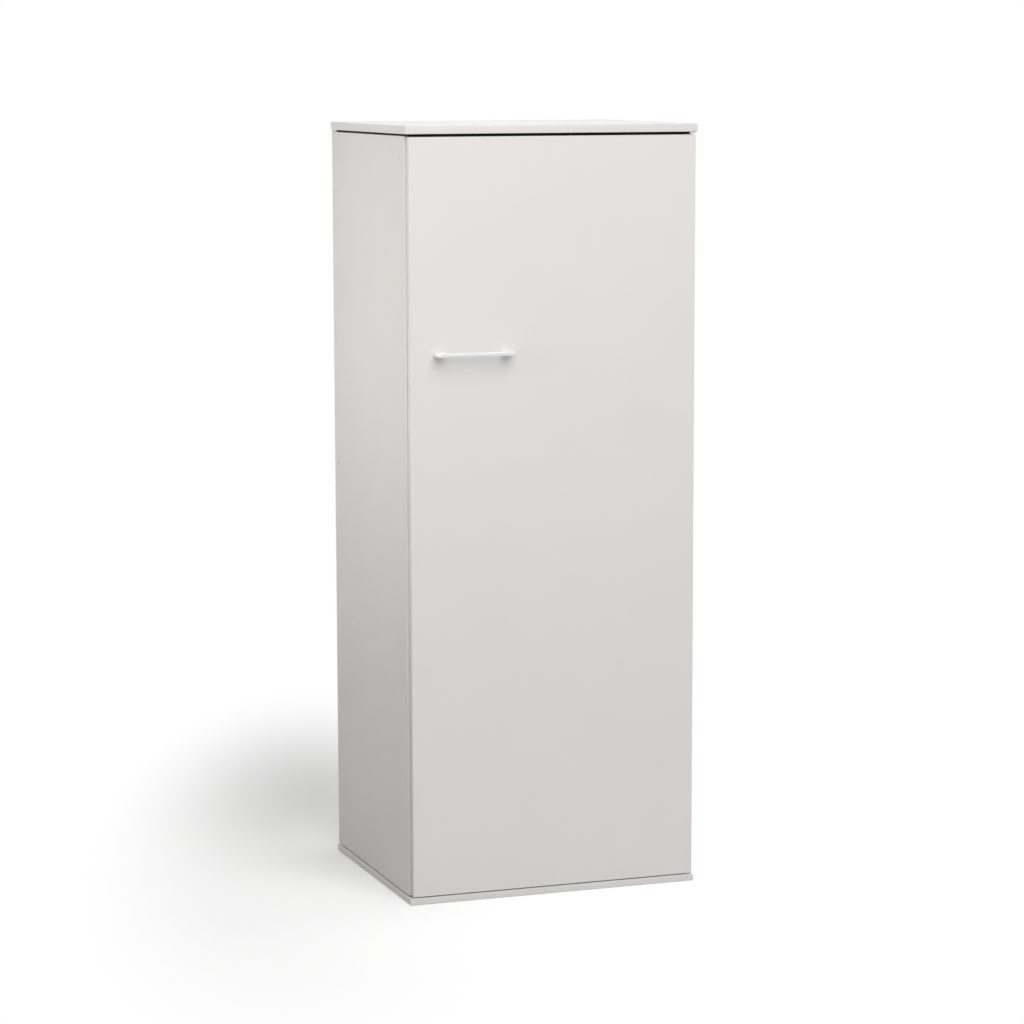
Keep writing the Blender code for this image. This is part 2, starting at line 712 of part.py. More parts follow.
def hinge_link(number, height, axis):
    """Two side plates joined by the arm pin and the cup pin, cranked so that the cup's rim can swing past."""
    name = f"hinge_link_{number}"
    arm_eye = ARM_PIN + Z_AXIS * height
    cup_eye = CUP_PIN + Z_AXIS * height
    knee = LINK_KNEE + Z_AXIS * height
    inside = LINK_HALF_WIDTH - LINK_PLATE_THICKNESS

    def limb(hand, first, second, radius):
        base = Z_AXIS * min(hand * inside, hand * LINK_HALF_WIDTH)

        def fill(shape):
            put_bar(shape, first + base, second + base, Z_AXIS, LINK_PLATE_THICKNESS, radius)

        return fill

    def cup_limb(hand):
        return limb(hand, cup_eye, knee, LINK_CUP_LIMB_RADIUS)

    def arm_limb(hand):
        return limb(hand, knee, arm_eye, LINK_ARM_LIMB_RADIUS)

    def pin(eye):
        def fill(shape):
            reach = LINK_HALF_WIDTH - LINK_PLATE_THICKNESS / 2
            put_cylinder(shape, eye - Z_AXIS * reach, Z_AXIS, 2 * reach, HINGE_PIN_RADIUS)

        return fill

    link = add_piece(name, mesh_from(name, cup_limb(1)), "nickel-plated steel", carrier=axis)
    for part, fill in (
        ("upper arm limb", arm_limb(1)),
        ("arm pin", pin(arm_eye)),
        ("cup pin", pin(cup_eye)),
        ("lower cup limb", cup_limb(-1)),
        ("lower arm limb", arm_limb(-1)),
    ):
        combine(link, add_helper(f"{name} {part}", mesh_from(f"{name} {part}", fill)), "UNION")


def hinge_arm(number, height):
    """A bar along the side's inner face whose narrow nose carries the arm pin."""
    name = f"hinge_arm_{number}"
    eye = ARM_PIN + Z_AXIS * height
    half = ARM_THICKNESS / 2
    shoulder = CARCASS_FRONT + ARM_SHOULDER

    def body(shape):
        low = Vector((eye.x - half, shoulder, height - ARM_HALF_WIDTH))
        high = Vector((eye.x + half, CARCASS_FRONT + ARM_LENGTH, height + ARM_HALF_WIDTH))
        put_box(shape, low, high)

    def nose(shape):
        first = eye - Z_AXIS * TONGUE_HALF_WIDTH
        second = Vector((eye.x, shoulder + 2 * half, first.z))
        put_bar(shape, first, second, Z_AXIS, 2 * TONGUE_HALF_WIDTH, ARM_NOSE_RADIUS)

    arm = add_piece(name, mesh_from(name, body), "nickel-plated steel")
    round_edges(arm, ARM_ROUNDING)
    combine(arm, add_helper(f"{name} nose", mesh_from(f"{name} nose", nose)), "UNION")
    start = eye - Z_AXIS * (TONGUE_HALF_WIDTH + SEAT_GAP)
    hole = (start, Z_AXIS, 2 * (TONGUE_HALF_WIDTH + SEAT_GAP), HINGE_PIN_RADIUS + SEAT_GAP)
    drill(arm, "pin hole", [hole])


def hinge_plate(number, height):
    """A mounting plate with round-ended wings on the side's inner face, and a riser under the arm."""
    name = f"hinge_plate_{number}"
    face = SIDE_INNER - SEAT_GAP
    arm_face = ARM_PIN.x + ARM_THICKNESS / 2 + SEAT_GAP
    start = CARCASS_FRONT + PLATE_START

    def wings(shape):
        middle = Vector((face, start + PLATE_DEPTH / 2, height))
        radius = PLATE_DEPTH / 2
        reach = Z_AXIS * (PLATE_LENGTH / 2 - radius)
        put_bar(shape, middle - reach, middle + reach, -X_AXIS, PLATE_BASE_THICKNESS, radius)

    def riser(shape):
        middle = start + PLATE_DEPTH / 2
        low = Vector((arm_face, middle - RISER_LENGTH / 2, height - ARM_HALF_WIDTH))
        high = Vector((face - SEAT_GAP, middle + RISER_LENGTH / 2, height + ARM_HALF_WIDTH))
        put_box(shape, low, high)

    plate = add_piece(name, mesh_from(name, wings), "nickel-plated steel")
    combine(plate, add_helper(f"{name} riser", mesh_from(f"{name} riser", riser)), "UNION")


def hinges(link_axis, door_axis):
    for number, height in enumerate(hinge_heights(), 1):
        hinge_cup(number, height, door_axis)
        hinge_link(number, height, link_axis)
        hinge_arm(number, height)
        hinge_plate(number, height)


def main():
    link_axis = add_axis("link_axis", ARM_PIN)
    door_axis = add_axis("door_axis", CUP_PIN)
    outer_panels()
    spacer_strips()
    carcass_boards()
    side_boards()
    side_fasteners()
    clothes_rail()
    door_bumpers()
    door_board(door_axis)
    bar_handle(door_axis)
    hinges(link_axis, door_axis)


clear_scene()
PIECES = new_collection("wardrobe")
CUTTERS = new_collection("cutters")
main()
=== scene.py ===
"""Looks of a white single-door wardrobe.

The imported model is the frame. Its boards, spacer strips and pads keep their solids and get their finishes,
and the boards get edge bands. The handle, hinges, rail, pins, screws, plugs and bumpers are finer surfaces
that stand for their solids. Metres, +Z up, the front towards -Y.
"""

import json
import math

import bmesh
import bpy
import numpy as np
from bpy.props import FloatProperty, FloatVectorProperty, PointerProperty
from mathutils import Euler, Matrix, Vector


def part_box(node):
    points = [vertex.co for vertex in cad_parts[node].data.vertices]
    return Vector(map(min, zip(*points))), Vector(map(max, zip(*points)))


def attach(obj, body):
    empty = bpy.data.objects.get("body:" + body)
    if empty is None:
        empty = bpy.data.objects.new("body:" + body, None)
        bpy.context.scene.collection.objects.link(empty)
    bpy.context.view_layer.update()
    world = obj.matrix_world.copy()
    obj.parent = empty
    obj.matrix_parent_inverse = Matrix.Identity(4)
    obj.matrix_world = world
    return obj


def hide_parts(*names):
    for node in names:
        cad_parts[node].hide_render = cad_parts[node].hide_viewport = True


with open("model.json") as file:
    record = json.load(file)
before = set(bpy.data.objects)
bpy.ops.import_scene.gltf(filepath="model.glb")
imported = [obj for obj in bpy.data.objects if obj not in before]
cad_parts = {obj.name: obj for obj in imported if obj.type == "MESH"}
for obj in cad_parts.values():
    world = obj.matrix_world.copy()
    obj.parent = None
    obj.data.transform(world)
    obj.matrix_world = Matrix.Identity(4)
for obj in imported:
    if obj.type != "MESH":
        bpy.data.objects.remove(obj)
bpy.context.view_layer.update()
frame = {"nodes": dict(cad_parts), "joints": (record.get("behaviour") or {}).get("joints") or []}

bl_info = {
    "name": "Wardrobe looks",
    "version": (1, 0, 0),
    "blender": (4, 5, 0),
    "location": "View3D > Sidebar > Wardrobe",
    "description": "Dresses a packed single-door wardrobe with finishes, fittings and a studio stage",
    "category": "Object",
}

# Facets round a turned piece and an arris, along the handle and round its section, and across a screw head
ROUND_STEPS = 48
ARRIS_STEPS = 6
LEG_STEPS = 6
BEND_STEPS = 12
BAR_STEPS = 20
SECTION_STEPS = 36
HEAD_RINGS = 18
SHARP_ANGLE = math.radians(40)
MERGE_DISTANCE = 1e-6
TURN = 2 * math.pi

X_AXIS, Y_AXIS, Z_AXIS = np.eye(3)

# Boards banded all round, by the axis across them, boards banded at the front alone, and one without a band
RING_BANDED = {"side_left": 0, "side_right": 0, "door": 1, "top_panel": 2, "base_panel": 2}
FRONT_BANDED = ("carcass_top", "carcass_bottom", "hat_shelf")
UNBANDED = ("back_panel",)
HINGES = (1, 2, 3)
HANDS = {"left": -1, "right": 1}


def extents(node):
    """Lowest corner, highest corner, middle and half size of a node's box, as arrays."""
    low, high = (np.array(corner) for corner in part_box(node))
    return low, high, (low + high) / 2, (high - low) / 2


def face(node, out):
    """Middle of the face of a node's box that looks out along an axis."""
    _, _, middle, half = extents(node)
    return middle + out * half


PINS = {joint["child"]: np.array(joint["pos_m"]) for joint in frame["joints"]}
ARM_PIN = PINS["hinge_links"]
CUP_PIN = PINS["door"]
CARCASS_FRONT = extents("side_right")[0][1]


# Properties: colours, sizes and the stage


def linear(code):
    """A linear colour from an sRGB hex code."""
    channels = np.array([int(code[start : start + 2], 16) for start in (1, 3, 5)]) / 255
    curve = np.where(channels <= 0.04045, channels / 12.92, ((channels + 0.055) / 1.055) ** 2.4)
    return tuple(curve.tolist())


def colour_property(name, description, code):
    return FloatVectorProperty(
        name=name, description=description, subtype="COLOR", size=3, min=0, max=1, default=linear(code)
    )


def length_property(name, description, metres):
    return FloatProperty(
        name=name, description=description, unit="LENGTH", subtype="DISTANCE", precision=5, default=metres
    )


def angle_property(name, description, degrees):
    return FloatProperty(name=name, description=description, subtype="ANGLE", default=math.radians(degrees))


def power_property(name, description, watts):
    return FloatProperty(name=name, description=description, subtype="POWER", default=watts)


def place_property(name, description, place):
    return FloatVectorProperty(
        name=name, description=description, subtype="TRANSLATION", unit="LENGTH", default=place
    )


class WardrobeColours(bpy.types.PropertyGroup):
    """Colours of the finishes"""

    board: colour_property("Board", "Melamine faces of the boards", "#E8E5E4")
    band: colour_property("Edge band", "Plastic bands glued round the boards", "#E6E3E2")
    handle: colour_property("Handle", "Powder coat of the handle", "#EBEBED")
    spacer: colour_property("Spacer", "Black plastic strips", "#050609")
    plug: colour_property("Plug", "Moulded hole plugs and pads", "#E6E3E1")
    nickel: colour_property("Nickel", "Plated hinge pressings", "#CBC8C1")
    zinc: colour_property("Zinc", "Plated screws and pins", "#C2C5C9")
    chrome: colour_property("Chrome", "Plated clothes rail", "#DCDDDE")
    silicone: colour_property("Silicone", "Clear door bumpers", "#E6E6E3")
    floor: colour_property("Floor", "Pale studio paper", "#CBCBCB")


class WardrobeSizes(bpy.types.PropertyGroup):
    """Sizes of the fine shapes"""

    band_proud: length_property("Band proud", "How far a band stands off its board", 0.00006)
    band_wall: length_property("Band wall", "Thickness of a band", 0.00036)
    arris: length_property("Arris", "Rounding of a board's edges", 0.001)
    handle_foot: length_property("Handle foot", "Length of a handle foot along the door", 0.022)
    handle_bar: length_property("Handle bar", "Height and depth of the handle's bar", 0.008)
    handle_bend: length_property("Handle bend", "Outer rounding of the handle's corners", 0.006)
    handle_fillet: length_property("Handle fillet", "Inner rounding of the handle's corners", 0.004)
    cup_wall: length_property("Cup wall", "Wall of a hinge cup", 0.001)
    hinge_rounding: length_property("Hinge rounding", "Rounded edges of a hinge cup", 0.0005)
    hinge_screw: length_property("Hinge screw", "Head radius of the hinge's screws", 0.0033)
    rail_wall: length_property("Rail wall", "Wall of the clothes rail", 0.0012)


class WardrobeStage(bpy.types.PropertyGroup):
    """Camera, lamps and the light from all round"""

    camera_place: place_property("Camera place", "Where the camera stands", (-2.22463, -6.22974, 1.63393))
    camera_tilt: angle_property("Camera tilt", "Downward tilt", 8.558)
    camera_turn: angle_property("Camera turn", "Turn towards the right", 19.622)
    camera_roll: angle_property("Camera roll", "Lean of the view", -0.117)
    lens: FloatProperty(
        name="Lens", description="Focal length in mm", subtype="DISTANCE_CAMERA", default=115.693
    )
    shift: FloatProperty(
        name="Shift", description="Rise of the view as a share of its width", default=0.04688
    )
    key_place: place_property("Key place", "Large soft lamp in front", (0.0, -3.5, 3.7))
    key_size: length_property("Key size", "Width and height of the key lamp", 3.8)
    key_power: power_property("Key power", "Power of the key lamp", 133)
    grid_size: length_property("Grid size", "Width and height of the gridded lamps", 0.9)
    grid_spread: angle_property("Grid spread", "Angle that the grids let out", 62)
    grid_colour: colour_property("Grid colour", "Tint of the gridded lamps", "#FCFDF4")
    left_power: power_property("Left power", "Gridded lamp on the left", 2.05)
    right_power: power_property("Right power", "Gridded lamp on the right", 2.3)
    rear_power: power_property("Rear power", "Gridded lamp behind", 2.8)
    top_place: place_property("Top place", "Lamp overhead", (0.0, 0.2, 3.6))
    top_size: length_property("Top size", "Width and height of the top lamp", 0.9)
    top_power: power_property("Top power", "Power of the top lamp", 0.9)
    top_spread: angle_property("Top spread", "Angle that the top lamp's grid lets out", 24)
    ambient: FloatProperty(name="Ambient", description="Light from all round", default=0.363)


# Materials

# Distance of a tint's two shades from a pattern's middle, and the span of a pattern that sets roughness
TINT_SPREAD = 0.18
PATTERN_LOW, PATTERN_HIGH = 0.3, 0.7


def set_inputs(node, inputs):
    """Sets each input of a node to a value, or links it from a socket."""
    for name, value in inputs.items():
        if isinstance(value, bpy.types.NodeSocket):
            node.id_data.links.new(value, node.inputs[name])
        else:
            node.inputs[name].default_value = value


def add_node(tree, kind, inputs=None, **settings):
    """A shader node of that kind with its settings and inputs."""
    node = tree.nodes.new(f"ShaderNode{kind}")
    for name, value in settings.items():
        setattr(node, name, value)
    set_inputs(node, inputs or {})
    return node


def new_finish(name, colour, roughness, metallic=0.0):
    """A material, its Principled shader, and the place on the object that its patterns follow."""
    material = bpy.data.materials.new(name)
    material.use_nodes = True
    material.diffuse_color = (*colour, 1)
    tree = material.node_tree
    shader = tree.nodes["Principled BSDF"]
    set_inputs(shader, {"Base Color": (*colour, 1), "Roughness": roughness, "Metallic": metallic})
    place = add_node(tree, "TexCoord").outputs["Object"]
    return material, shader, place


def noise(place, size, detail=2.0):
    """Cloudy pattern whose patches are about that size, in metres."""
    inputs = {"Vector": place, "Scale": 1 / size, "Detail": detail}
    return add_node(place.id_data, "TexNoise", inputs).outputs["Fac"]


def tint(shader, pattern, colour, dark):
    """Base colour that runs with the pattern from a darker shade up to the colour itself."""
    ramp = add_node(shader.id_data, "ValToRGB", {"Fac": pattern})
    low, high = ramp.color_ramp.elements
    low.position, high.position = 0.5 - TINT_SPREAD, 0.5 + TINT_SPREAD
    low.color = (*(channel * dark for channel in colour), 1)
    high.color = (*colour, 1)
    set_inputs(shader, {"Base Color": ramp.outputs["Color"]})


def vary_roughness(shader, pattern, low, high):
    """Roughness that runs with the pattern between two values."""
    ends = {"From Min": PATTERN_LOW, "From Max": PATTERN_HIGH, "To Min": low, "To Max": high}
    spread = add_node(shader.id_data, "MapRange", {"Value": pattern, **ends})
    set_inputs(shader, {"Roughness": spread.outputs["Result"]})


def relief(shader, pattern, depth, strength=0.5):
    """Bump of the pattern, with its full height as a real depth in metres."""
    inputs = {"Height": pattern, "Distance": depth, "Strength": strength}
    bump = add_node(shader.id_data, "Bump", inputs)
    set_inputs(shader, {"Normal": bump.outputs["Normal"]})


def stretched(place, scale):
    """The place, squeezed along its axes by the scale, for lines drawn out along one of them."""
    return add_node(place.id_data, "Mapping", {"Vector": place, "Scale": scale}).outputs["Vector"]


def melamine_board(name, colours):
    """Resin paper pressed on chipboard: dull white with a fine pearl, faintly cloudy over a hand's width."""
    material, shader, place = new_finish(name, colours.board, roughness=0.46)
    tint(shader, noise(place, size=0.160), colours.board, dark=0.985)
    vary_roughness(shader, noise(place, size=0.035), low=0.40, high=0.52)
    # The pearl's real grain is about 0.5 mm; it is drawn at 1.5 mm so that it shows
    relief(shader, noise(place, size=0.0015, detail=4.0), depth=0.00004)
    set_inputs(shader, {"Specular IOR Level": 0.3})
    return material


def abs_edge_band(name, colours):
    """Extruded plastic strip: a little smoother and cleaner than the board, with a faint fine grain."""
    material, shader, place = new_finish(name, colours.band, roughness=0.38)
    tint(shader, noise(place, size=0.090), colours.band, dark=0.985)
    vary_roughness(shader, noise(place, size=0.012), low=0.33, high=0.43)
    relief(shader, noise(place, size=0.0009, detail=3.0), depth=0.00002, strength=0.4)
    set_inputs(shader, {"Specular IOR Level": 0.3})
    return material


def powder_coated_steel(name, colours):
    """Baked powder coat: bright white with a soft gloss and the shallow ripple called orange peel."""
    material, shader, place = new_finish(name, colours.handle, roughness=0.30)
    tint(shader, noise(place, size=0.020), colours.handle, dark=0.985)
    vary_roughness(shader, noise(place, size=0.006), low=0.25, high=0.36)
    # The ripple is about 1 mm from crest to crest
    relief(shader, noise(place, size=0.001, detail=1.0), depth=0.00003)
    set_inputs(shader, {"Coat Weight": 0.25, "Coat Roughness": 0.12})
    return material


def black_spacer_plastic(name, colours):
    """Extruded strip, dull black, with drawn lines along its length and a trace of board dust."""
    material, shader, place = new_finish(name, colours.spacer, roughness=0.55)
    tint(shader, noise(place, size=0.004, detail=4.0), colours.spacer, dark=0.7)
    vary_roughness(shader, noise(place, size=0.010), low=0.46, high=0.62)
    lines = stretched(place, (1, 1, 8))
    relief(shader, noise(lines, size=0.004, detail=3.0), depth=0.00008)
    set_inputs(shader, {"Specular IOR Level": 0.05})
    return material


def nickel_plated_steel(name, colours):
    """Pressed sheet under bright nickel: warm grey, softly mirrored, with rolling lines and finger marks."""
    material, shader, place = new_finish(name, colours.nickel, roughness=0.26, metallic=1.0)
    tint(shader, noise(place, size=0.011, detail=3.0), colours.nickel, dark=0.90)
    vary_roughness(shader, noise(place, size=0.005, detail=4.0), low=0.20, high=0.34)
    lines = stretched(place, (1, 1, 9))
    relief(shader, noise(lines, size=0.003, detail=3.0), depth=0.000012)
    return material


def zinc_plated_steel(name, colours):
    """Turned wire under bright zinc: cool grey, duller than nickel and slightly speckled."""
    material, shader, place = new_finish(name, colours.zinc, roughness=0.36, metallic=1.0)
    tint(shader, noise(place, size=0.0016, detail=3.0), colours.zinc, dark=0.82)
    vary_roughness(shader, noise(place, size=0.0012, detail=3.0), low=0.28, high=0.44)
    relief(shader, noise(place, size=0.0008), depth=0.00001)
    return material


def chromed_steel(name, colours):
    """Drawn tube under chrome: a clear mirror broken by polishing lines along it."""
    material, shader, place = new_finish(name, colours.chrome, roughness=0.10, metallic=1.0)
    tint(shader, noise(place, size=0.060), colours.chrome, dark=0.94)
    haze = stretched(place, (0.05, 1, 1))
    vary_roughness(shader, noise(haze, size=0.003, detail=4.0), low=0.06, high=0.16)
    lines = stretched(place, (0.04, 1, 1))
    relief(shader, noise(lines, size=0.002, detail=3.0), depth=0.000006)
    return material


def white_polyethylene(name, colours):
    """Moulded plug or pad: waxy off-white with a faint moulding grain."""
    material, shader, place = new_finish(name, colours.plug, roughness=0.42)
    tint(shader, noise(place, size=0.003), colours.plug, dark=0.96)
    vary_roughness(shader, noise(place, size=0.0012), low=0.36, high=0.50)
    relief(shader, noise(place, size=0.0006), depth=0.00001)
    set_inputs(shader, {"Subsurface Weight": 0.15, "Subsurface Radius": (0.002, 0.002, 0.0018)})
    return material


def clear_silicone(name, colours):
    """Cast dome: milky clear, soft and a little dusty."""
    material, shader, place = new_finish(name, colours.silicone, roughness=0.28)
    tint(shader, noise(place, size=0.002), colours.silicone, dark=0.93)
    vary_roughness(shader, noise(place, size=0.0015, detail=3.0), low=0.20, high=0.38)
    relief(shader, noise(place, size=0.001), depth=0.00001, strength=0.4)
    set_inputs(shader, {"IOR": 1.41, "Transmission Weight": 0.6})
    return material


def finish(builder):
    """The material that a builder makes, made the first time that it is asked for."""
    name = builder.__name__.replace("_", " ")
    return bpy.data.materials.get(name) or builder(name, bpy.context.scene.wardrobe_colours)


# Shapes: each is its points and its blocks of faces

# Rounding of thin sheet, pin ends and tube ends, and how far small screws stand off what they hold
THIN_ROUNDING = 0.0003
SCREW_PROUD = 0.0006

# A screw head's rim as a share of its height, and its cross: the arms' reach and half width as shares of the
# radius, their depth as a share of the height, and how steeply their walls fall
HEAD_RIM = 0.6
CROSS_REACH = 0.62
CROSS_WIDTH = 0.17
CROSS_DEPTH = 0.55
CROSS_STEEPNESS = 3


def grid(points, wrap_rows=False, wrap_columns=True, caps=False):
    """Joins each point of a rows by columns grid to the next along its row and its column, round again where
    a direction closes, and closes the first and last rows with one face each where caps are asked for."""
    rows, columns, _ = points.shape
    index = np.arange(rows * columns).reshape(rows, columns)
    blocks = [index[:1, ::-1], index[-1:]] if caps else []
    if wrap_rows:
        index = np.vstack([index, index[:1]])
    if wrap_columns:
        index = np.hstack([index, index[:, :1]])
    quads = np.stack([index[:-1, :-1], index[:-1, 1:], index[1:, 1:], index[1:, :-1]], axis=-1)
    return points.reshape(-1, 3), [quads.reshape(-1, 4), *blocks]


def placed(shape, origin, out, across):
    """The shape with its zero at origin, its local Z pointing out and its local X pointing across."""
    points, blocks = shape
    return points @ np.stack([across, np.cross(out, across), out]) + origin, blocks


def add_piece(name, shapes, builder, body, slot, *replaced):
    """One piece from closed shapes: joined, poles merged, faces turned outwards, riding on its body."""
    starts = np.cumsum([0] + [len(points) for points, _ in shapes])
    points = np.concatenate([points for points, _ in shapes])
    faces = []
    for (_, blocks), start in zip(shapes, starts):
        for block in blocks:
            faces += (block + start).tolist()
    mesh = bpy.data.meshes.new(name)
    mesh.from_pydata(points.tolist(), [], faces)
    shape = bmesh.new()
    shape.from_mesh(mesh)
    bmesh.ops.remove_doubles(shape, verts=shape.verts, dist=MERGE_DISTANCE)
    bmesh.ops.recalc_face_normals(shape, faces=shape.faces)
    shape.to_mesh(mesh)
    shape.free()
    mesh.shade_smooth()
    mesh.set_sharp_from_angle(angle=SHARP_ANGLE)
    mesh.materials.append(finish(builder))
    piece = bpy.data.objects.new(name, mesh)
    bpy.context.scene.collection.objects.link(piece)
    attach(piece, body)
    if replaced:
        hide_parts(*replaced)


def rounded(path, radius, closed=False):
    """Replaces each corner of a path by a quadratic curve that leaves one side and meets the next at the
    radius from the corner, or at half the side where that is shorter. An open path keeps its ends."""
    path = np.asarray(path, float)
    share = np.linspace(0, 1, ARRIS_STEPS)[None, :, None]

    def leaving(other):
        side = other - path
        span = np.linalg.norm(side, axis=1, keepdims=True)
        return (path + side * np.minimum(radius / span, 0.5))[:, None]

    first = leaving(np.roll(path, 1, axis=0))
    last = leaving(np.roll(path, -1, axis=0))
    curve = (1 - share) ** 2 * first + 2 * share * (1 - share) * path[:, None] + share**2 * last
    if closed:
        return curve.reshape(-1, 2)
    return np.concatenate([path[:1], curve[1:-1].reshape(-1, 2), path[-1:]])


def turned(profile, ring=False, steps=ROUND_STEPS):
    """A profile of radii and heights turned round local Z: radius times the cosine and sine of the turn, and
    the height. A ring's profile closes on itself; any other begins and ends on the axis."""
    turn = np.linspace(0, TURN, steps, endpoint=False)
    radius, height = np.asarray(profile).T[:, :, None]
    points = np.stack(np.broadcast_arrays(radius * np.cos(turn), radius * np.sin(turn), height), axis=-1)
    return grid(points, wrap_rows=ring)


def bar_outline(first, second, radius):
    """A flat bar with round ends: half a circle round its second end, then half a circle round its first."""
    first, second = np.asarray(first, float), np.asarray(second, float)
    heading = math.atan2(*(second - first)[::-1])
    turn = heading + np.linspace(-math.pi / 2, math.pi / 2, ROUND_STEPS // 2)
    end = radius * np.stack([np.cos(turn), np.sin(turn)], axis=-1)
    return np.concatenate([second + end, first - end])


def slab(outline, low, high, rounding):
    """A plate: its outline, counter-clockwise in local X and Y, carried from height low to height high.
    Along both arrises the outline draws in by the rounding times one minus the sine of a quarter turn, while
    the height runs by the rounding times one minus its cosine."""
    tangent = np.roll(outline, -1, axis=0) - np.roll(outline, 1, axis=0)
    outward = np.stack([tangent[:, 1], -tangent[:, 0]], axis=-1)
    outward /= np.linalg.norm(outward, axis=1, keepdims=True)
    turn = np.linspace(0, math.pi / 2, ARRIS_STEPS)
    inset = rounding * (1 - np.sin(turn))
    rise = rounding * (1 - np.cos(turn))
    inset = np.concatenate([inset, inset[::-1]])[:, None, None]
    height = np.concatenate([low + rise, (high - rise)[::-1]])[:, None, None]
    flat = outline - inset * outward
    points = np.concatenate([flat, np.broadcast_to(height, flat.shape[:2] + (1,))], axis=-1)
    return grid(points, caps=True)


def screw(head_radius, head_height, shank_radius, length, dome=0.25):
    """A screw turned round local Z with the crown of its head at zero. The head falls from its crown by the
    square of the radius, and a cross is sunk into it: its depth runs down from the edge of either arm, as
    one minus the larger of the two distances to the arm's sides and ends."""
    crown = np.linspace(0, head_radius, HEAD_RINGS)
    fall = dome * head_height * (crown / head_radius) ** 2
    rim = [(head_radius, head_height * HEAD_RIM), (shank_radius, head_height)]
    stem = np.array([*rim, (shank_radius, length - shank_radius), (0, length)])
    radius = np.concatenate([crown, stem[:, 0]])[:, None]
    height = -np.concatenate([fall, stem[:, 1]])[:, None]
    turn = np.linspace(0, TURN, 2 * ROUND_STEPS, endpoint=False)
    x, y = radius * np.cos(turn), radius * np.sin(turn)
    reach, width = CROSS_REACH * head_radius, CROSS_WIDTH * head_radius
    along = 1 - np.maximum(abs(x) / reach, abs(y) / width)
    across = 1 - np.maximum(abs(y) / reach, abs(x) / width)
    sunk = CROSS_DEPTH * head_height * np.clip(CROSS_STEEPNESS * np.maximum(along, across), 0, 1)
    sunk[HEAD_RINGS:] = 0
    return grid(np.stack([x, y, height - sunk], axis=-1))


# Boards and edge bands


def band_profile(thickness, sizes):
    """The section of a band as distance out of the edge and height across the board: a quarter circle round
    either arris with the flat edge between, and back along smaller quarter circles a wall further in."""
    turn = np.linspace(0, math.pi / 2, ARRIS_STEPS)
    bend = np.array([-sizes.arris, thickness / 2 - sizes.arris])
    quarter = np.stack([np.sin(turn), np.cos(turn)], axis=-1)
    outer = bend + (sizes.arris + sizes.band_proud) * quarter
    inner = bend + (sizes.arris - sizes.band_wall) * quarter
    mirror = np.array([1, -1])
    return np.concatenate([outer, outer[::-1] * mirror, inner * mirror, inner[::-1]])


def ring_band(node, thin, sizes):
    """The band's section carried round the board's edge: a rectangle with its corners on quarter circles,
    each section point offset along the outward direction there."""
    _, _, middle, half = extents(node)
    first, second = [axis for axis in range(3) if axis != thin]
    profile = band_profile(2 * half[thin], sizes)
    turn = np.linspace(0, math.pi / 2, ARRIS_STEPS)[None, :] + np.arange(4)[:, None] * math.pi / 2
    outward = np.stack([np.cos(turn), np.sin(turn)], axis=-1)
    signs = np.array([(1, 1), (-1, 1), (-1, -1), (1, -1)])[:, None]
    bend = signs * (half[[first, second]] - sizes.arris) + np.zeros_like(outward)
    bend, outward = bend.reshape(-1, 1, 2), outward.reshape(-1, 1, 2)
    points = np.zeros((len(bend), len(profile), 3))
    points[:, :, [first, second]] = bend + (sizes.arris + profile[:, :1]) * outward
    points[:, :, thin] = profile[:, 1]
    return grid(points + middle, wrap_rows=True)


def front_band(node, sizes):
    """The band's section carried straight along the board's front edge, with its ends closed."""
    low, high, middle, half = extents(node)
    profile = band_profile(2 * half[2], sizes)
    points = np.zeros((2, len(profile), 3))
    points[:, :, 0] = np.array([[low[0]], [high[0]]])
    points[:, :, 1] = low[1] - profile[:, 0]
    points[:, :, 2] = middle[2] + profile[:, 1]
    return grid(points, caps=True)


def dress(node, builder):
    """Gives a node's own solid a finish."""
    slots = frame["nodes"][node].data.materials
    slots.clear()
    slots.append(finish(builder))


def dress_boards(sizes):
    for node in (*RING_BANDED, *FRONT_BANDED, *UNBANDED):
        dress(node, melamine_board)
    for node, thin in RING_BANDED.items():
        body = "door" if node == "door" else "carcass"
        add_piece(f"{node}_edge_band", [ring_band(node, thin, sizes)], abs_edge_band, body, "white_board")
    for node in FRONT_BANDED:
        add_piece(f"{node}_edge_band", [front_band(node, sizes)], abs_edge_band, "carcass", "white_board")


def dress_spacers():
    for node in frame["nodes"]:
        if "spacer" in node:
            dress(node, black_spacer_plastic)
        elif "pad" in node:
            dress(node, white_polyethylene)


# Handle

# Where its taper begins, as a share of a foot's length, and how square its feet and its bar are: 2 is round
TAPER_START = 0.55
FOOT_SQUARENESS = 2.8
BAR_SQUARENESS = 4.0
HANDLE_SCREW = {"head_height": 0.0025, "shank_radius": 0.002, "dome": 0.5}


def smooth_step(value):
    """Runs from 0 to 1 with level ends: three squares less two cubes."""
    value = np.clip(value, 0, 1)
    return 3 * value**2 - 2 * value**3


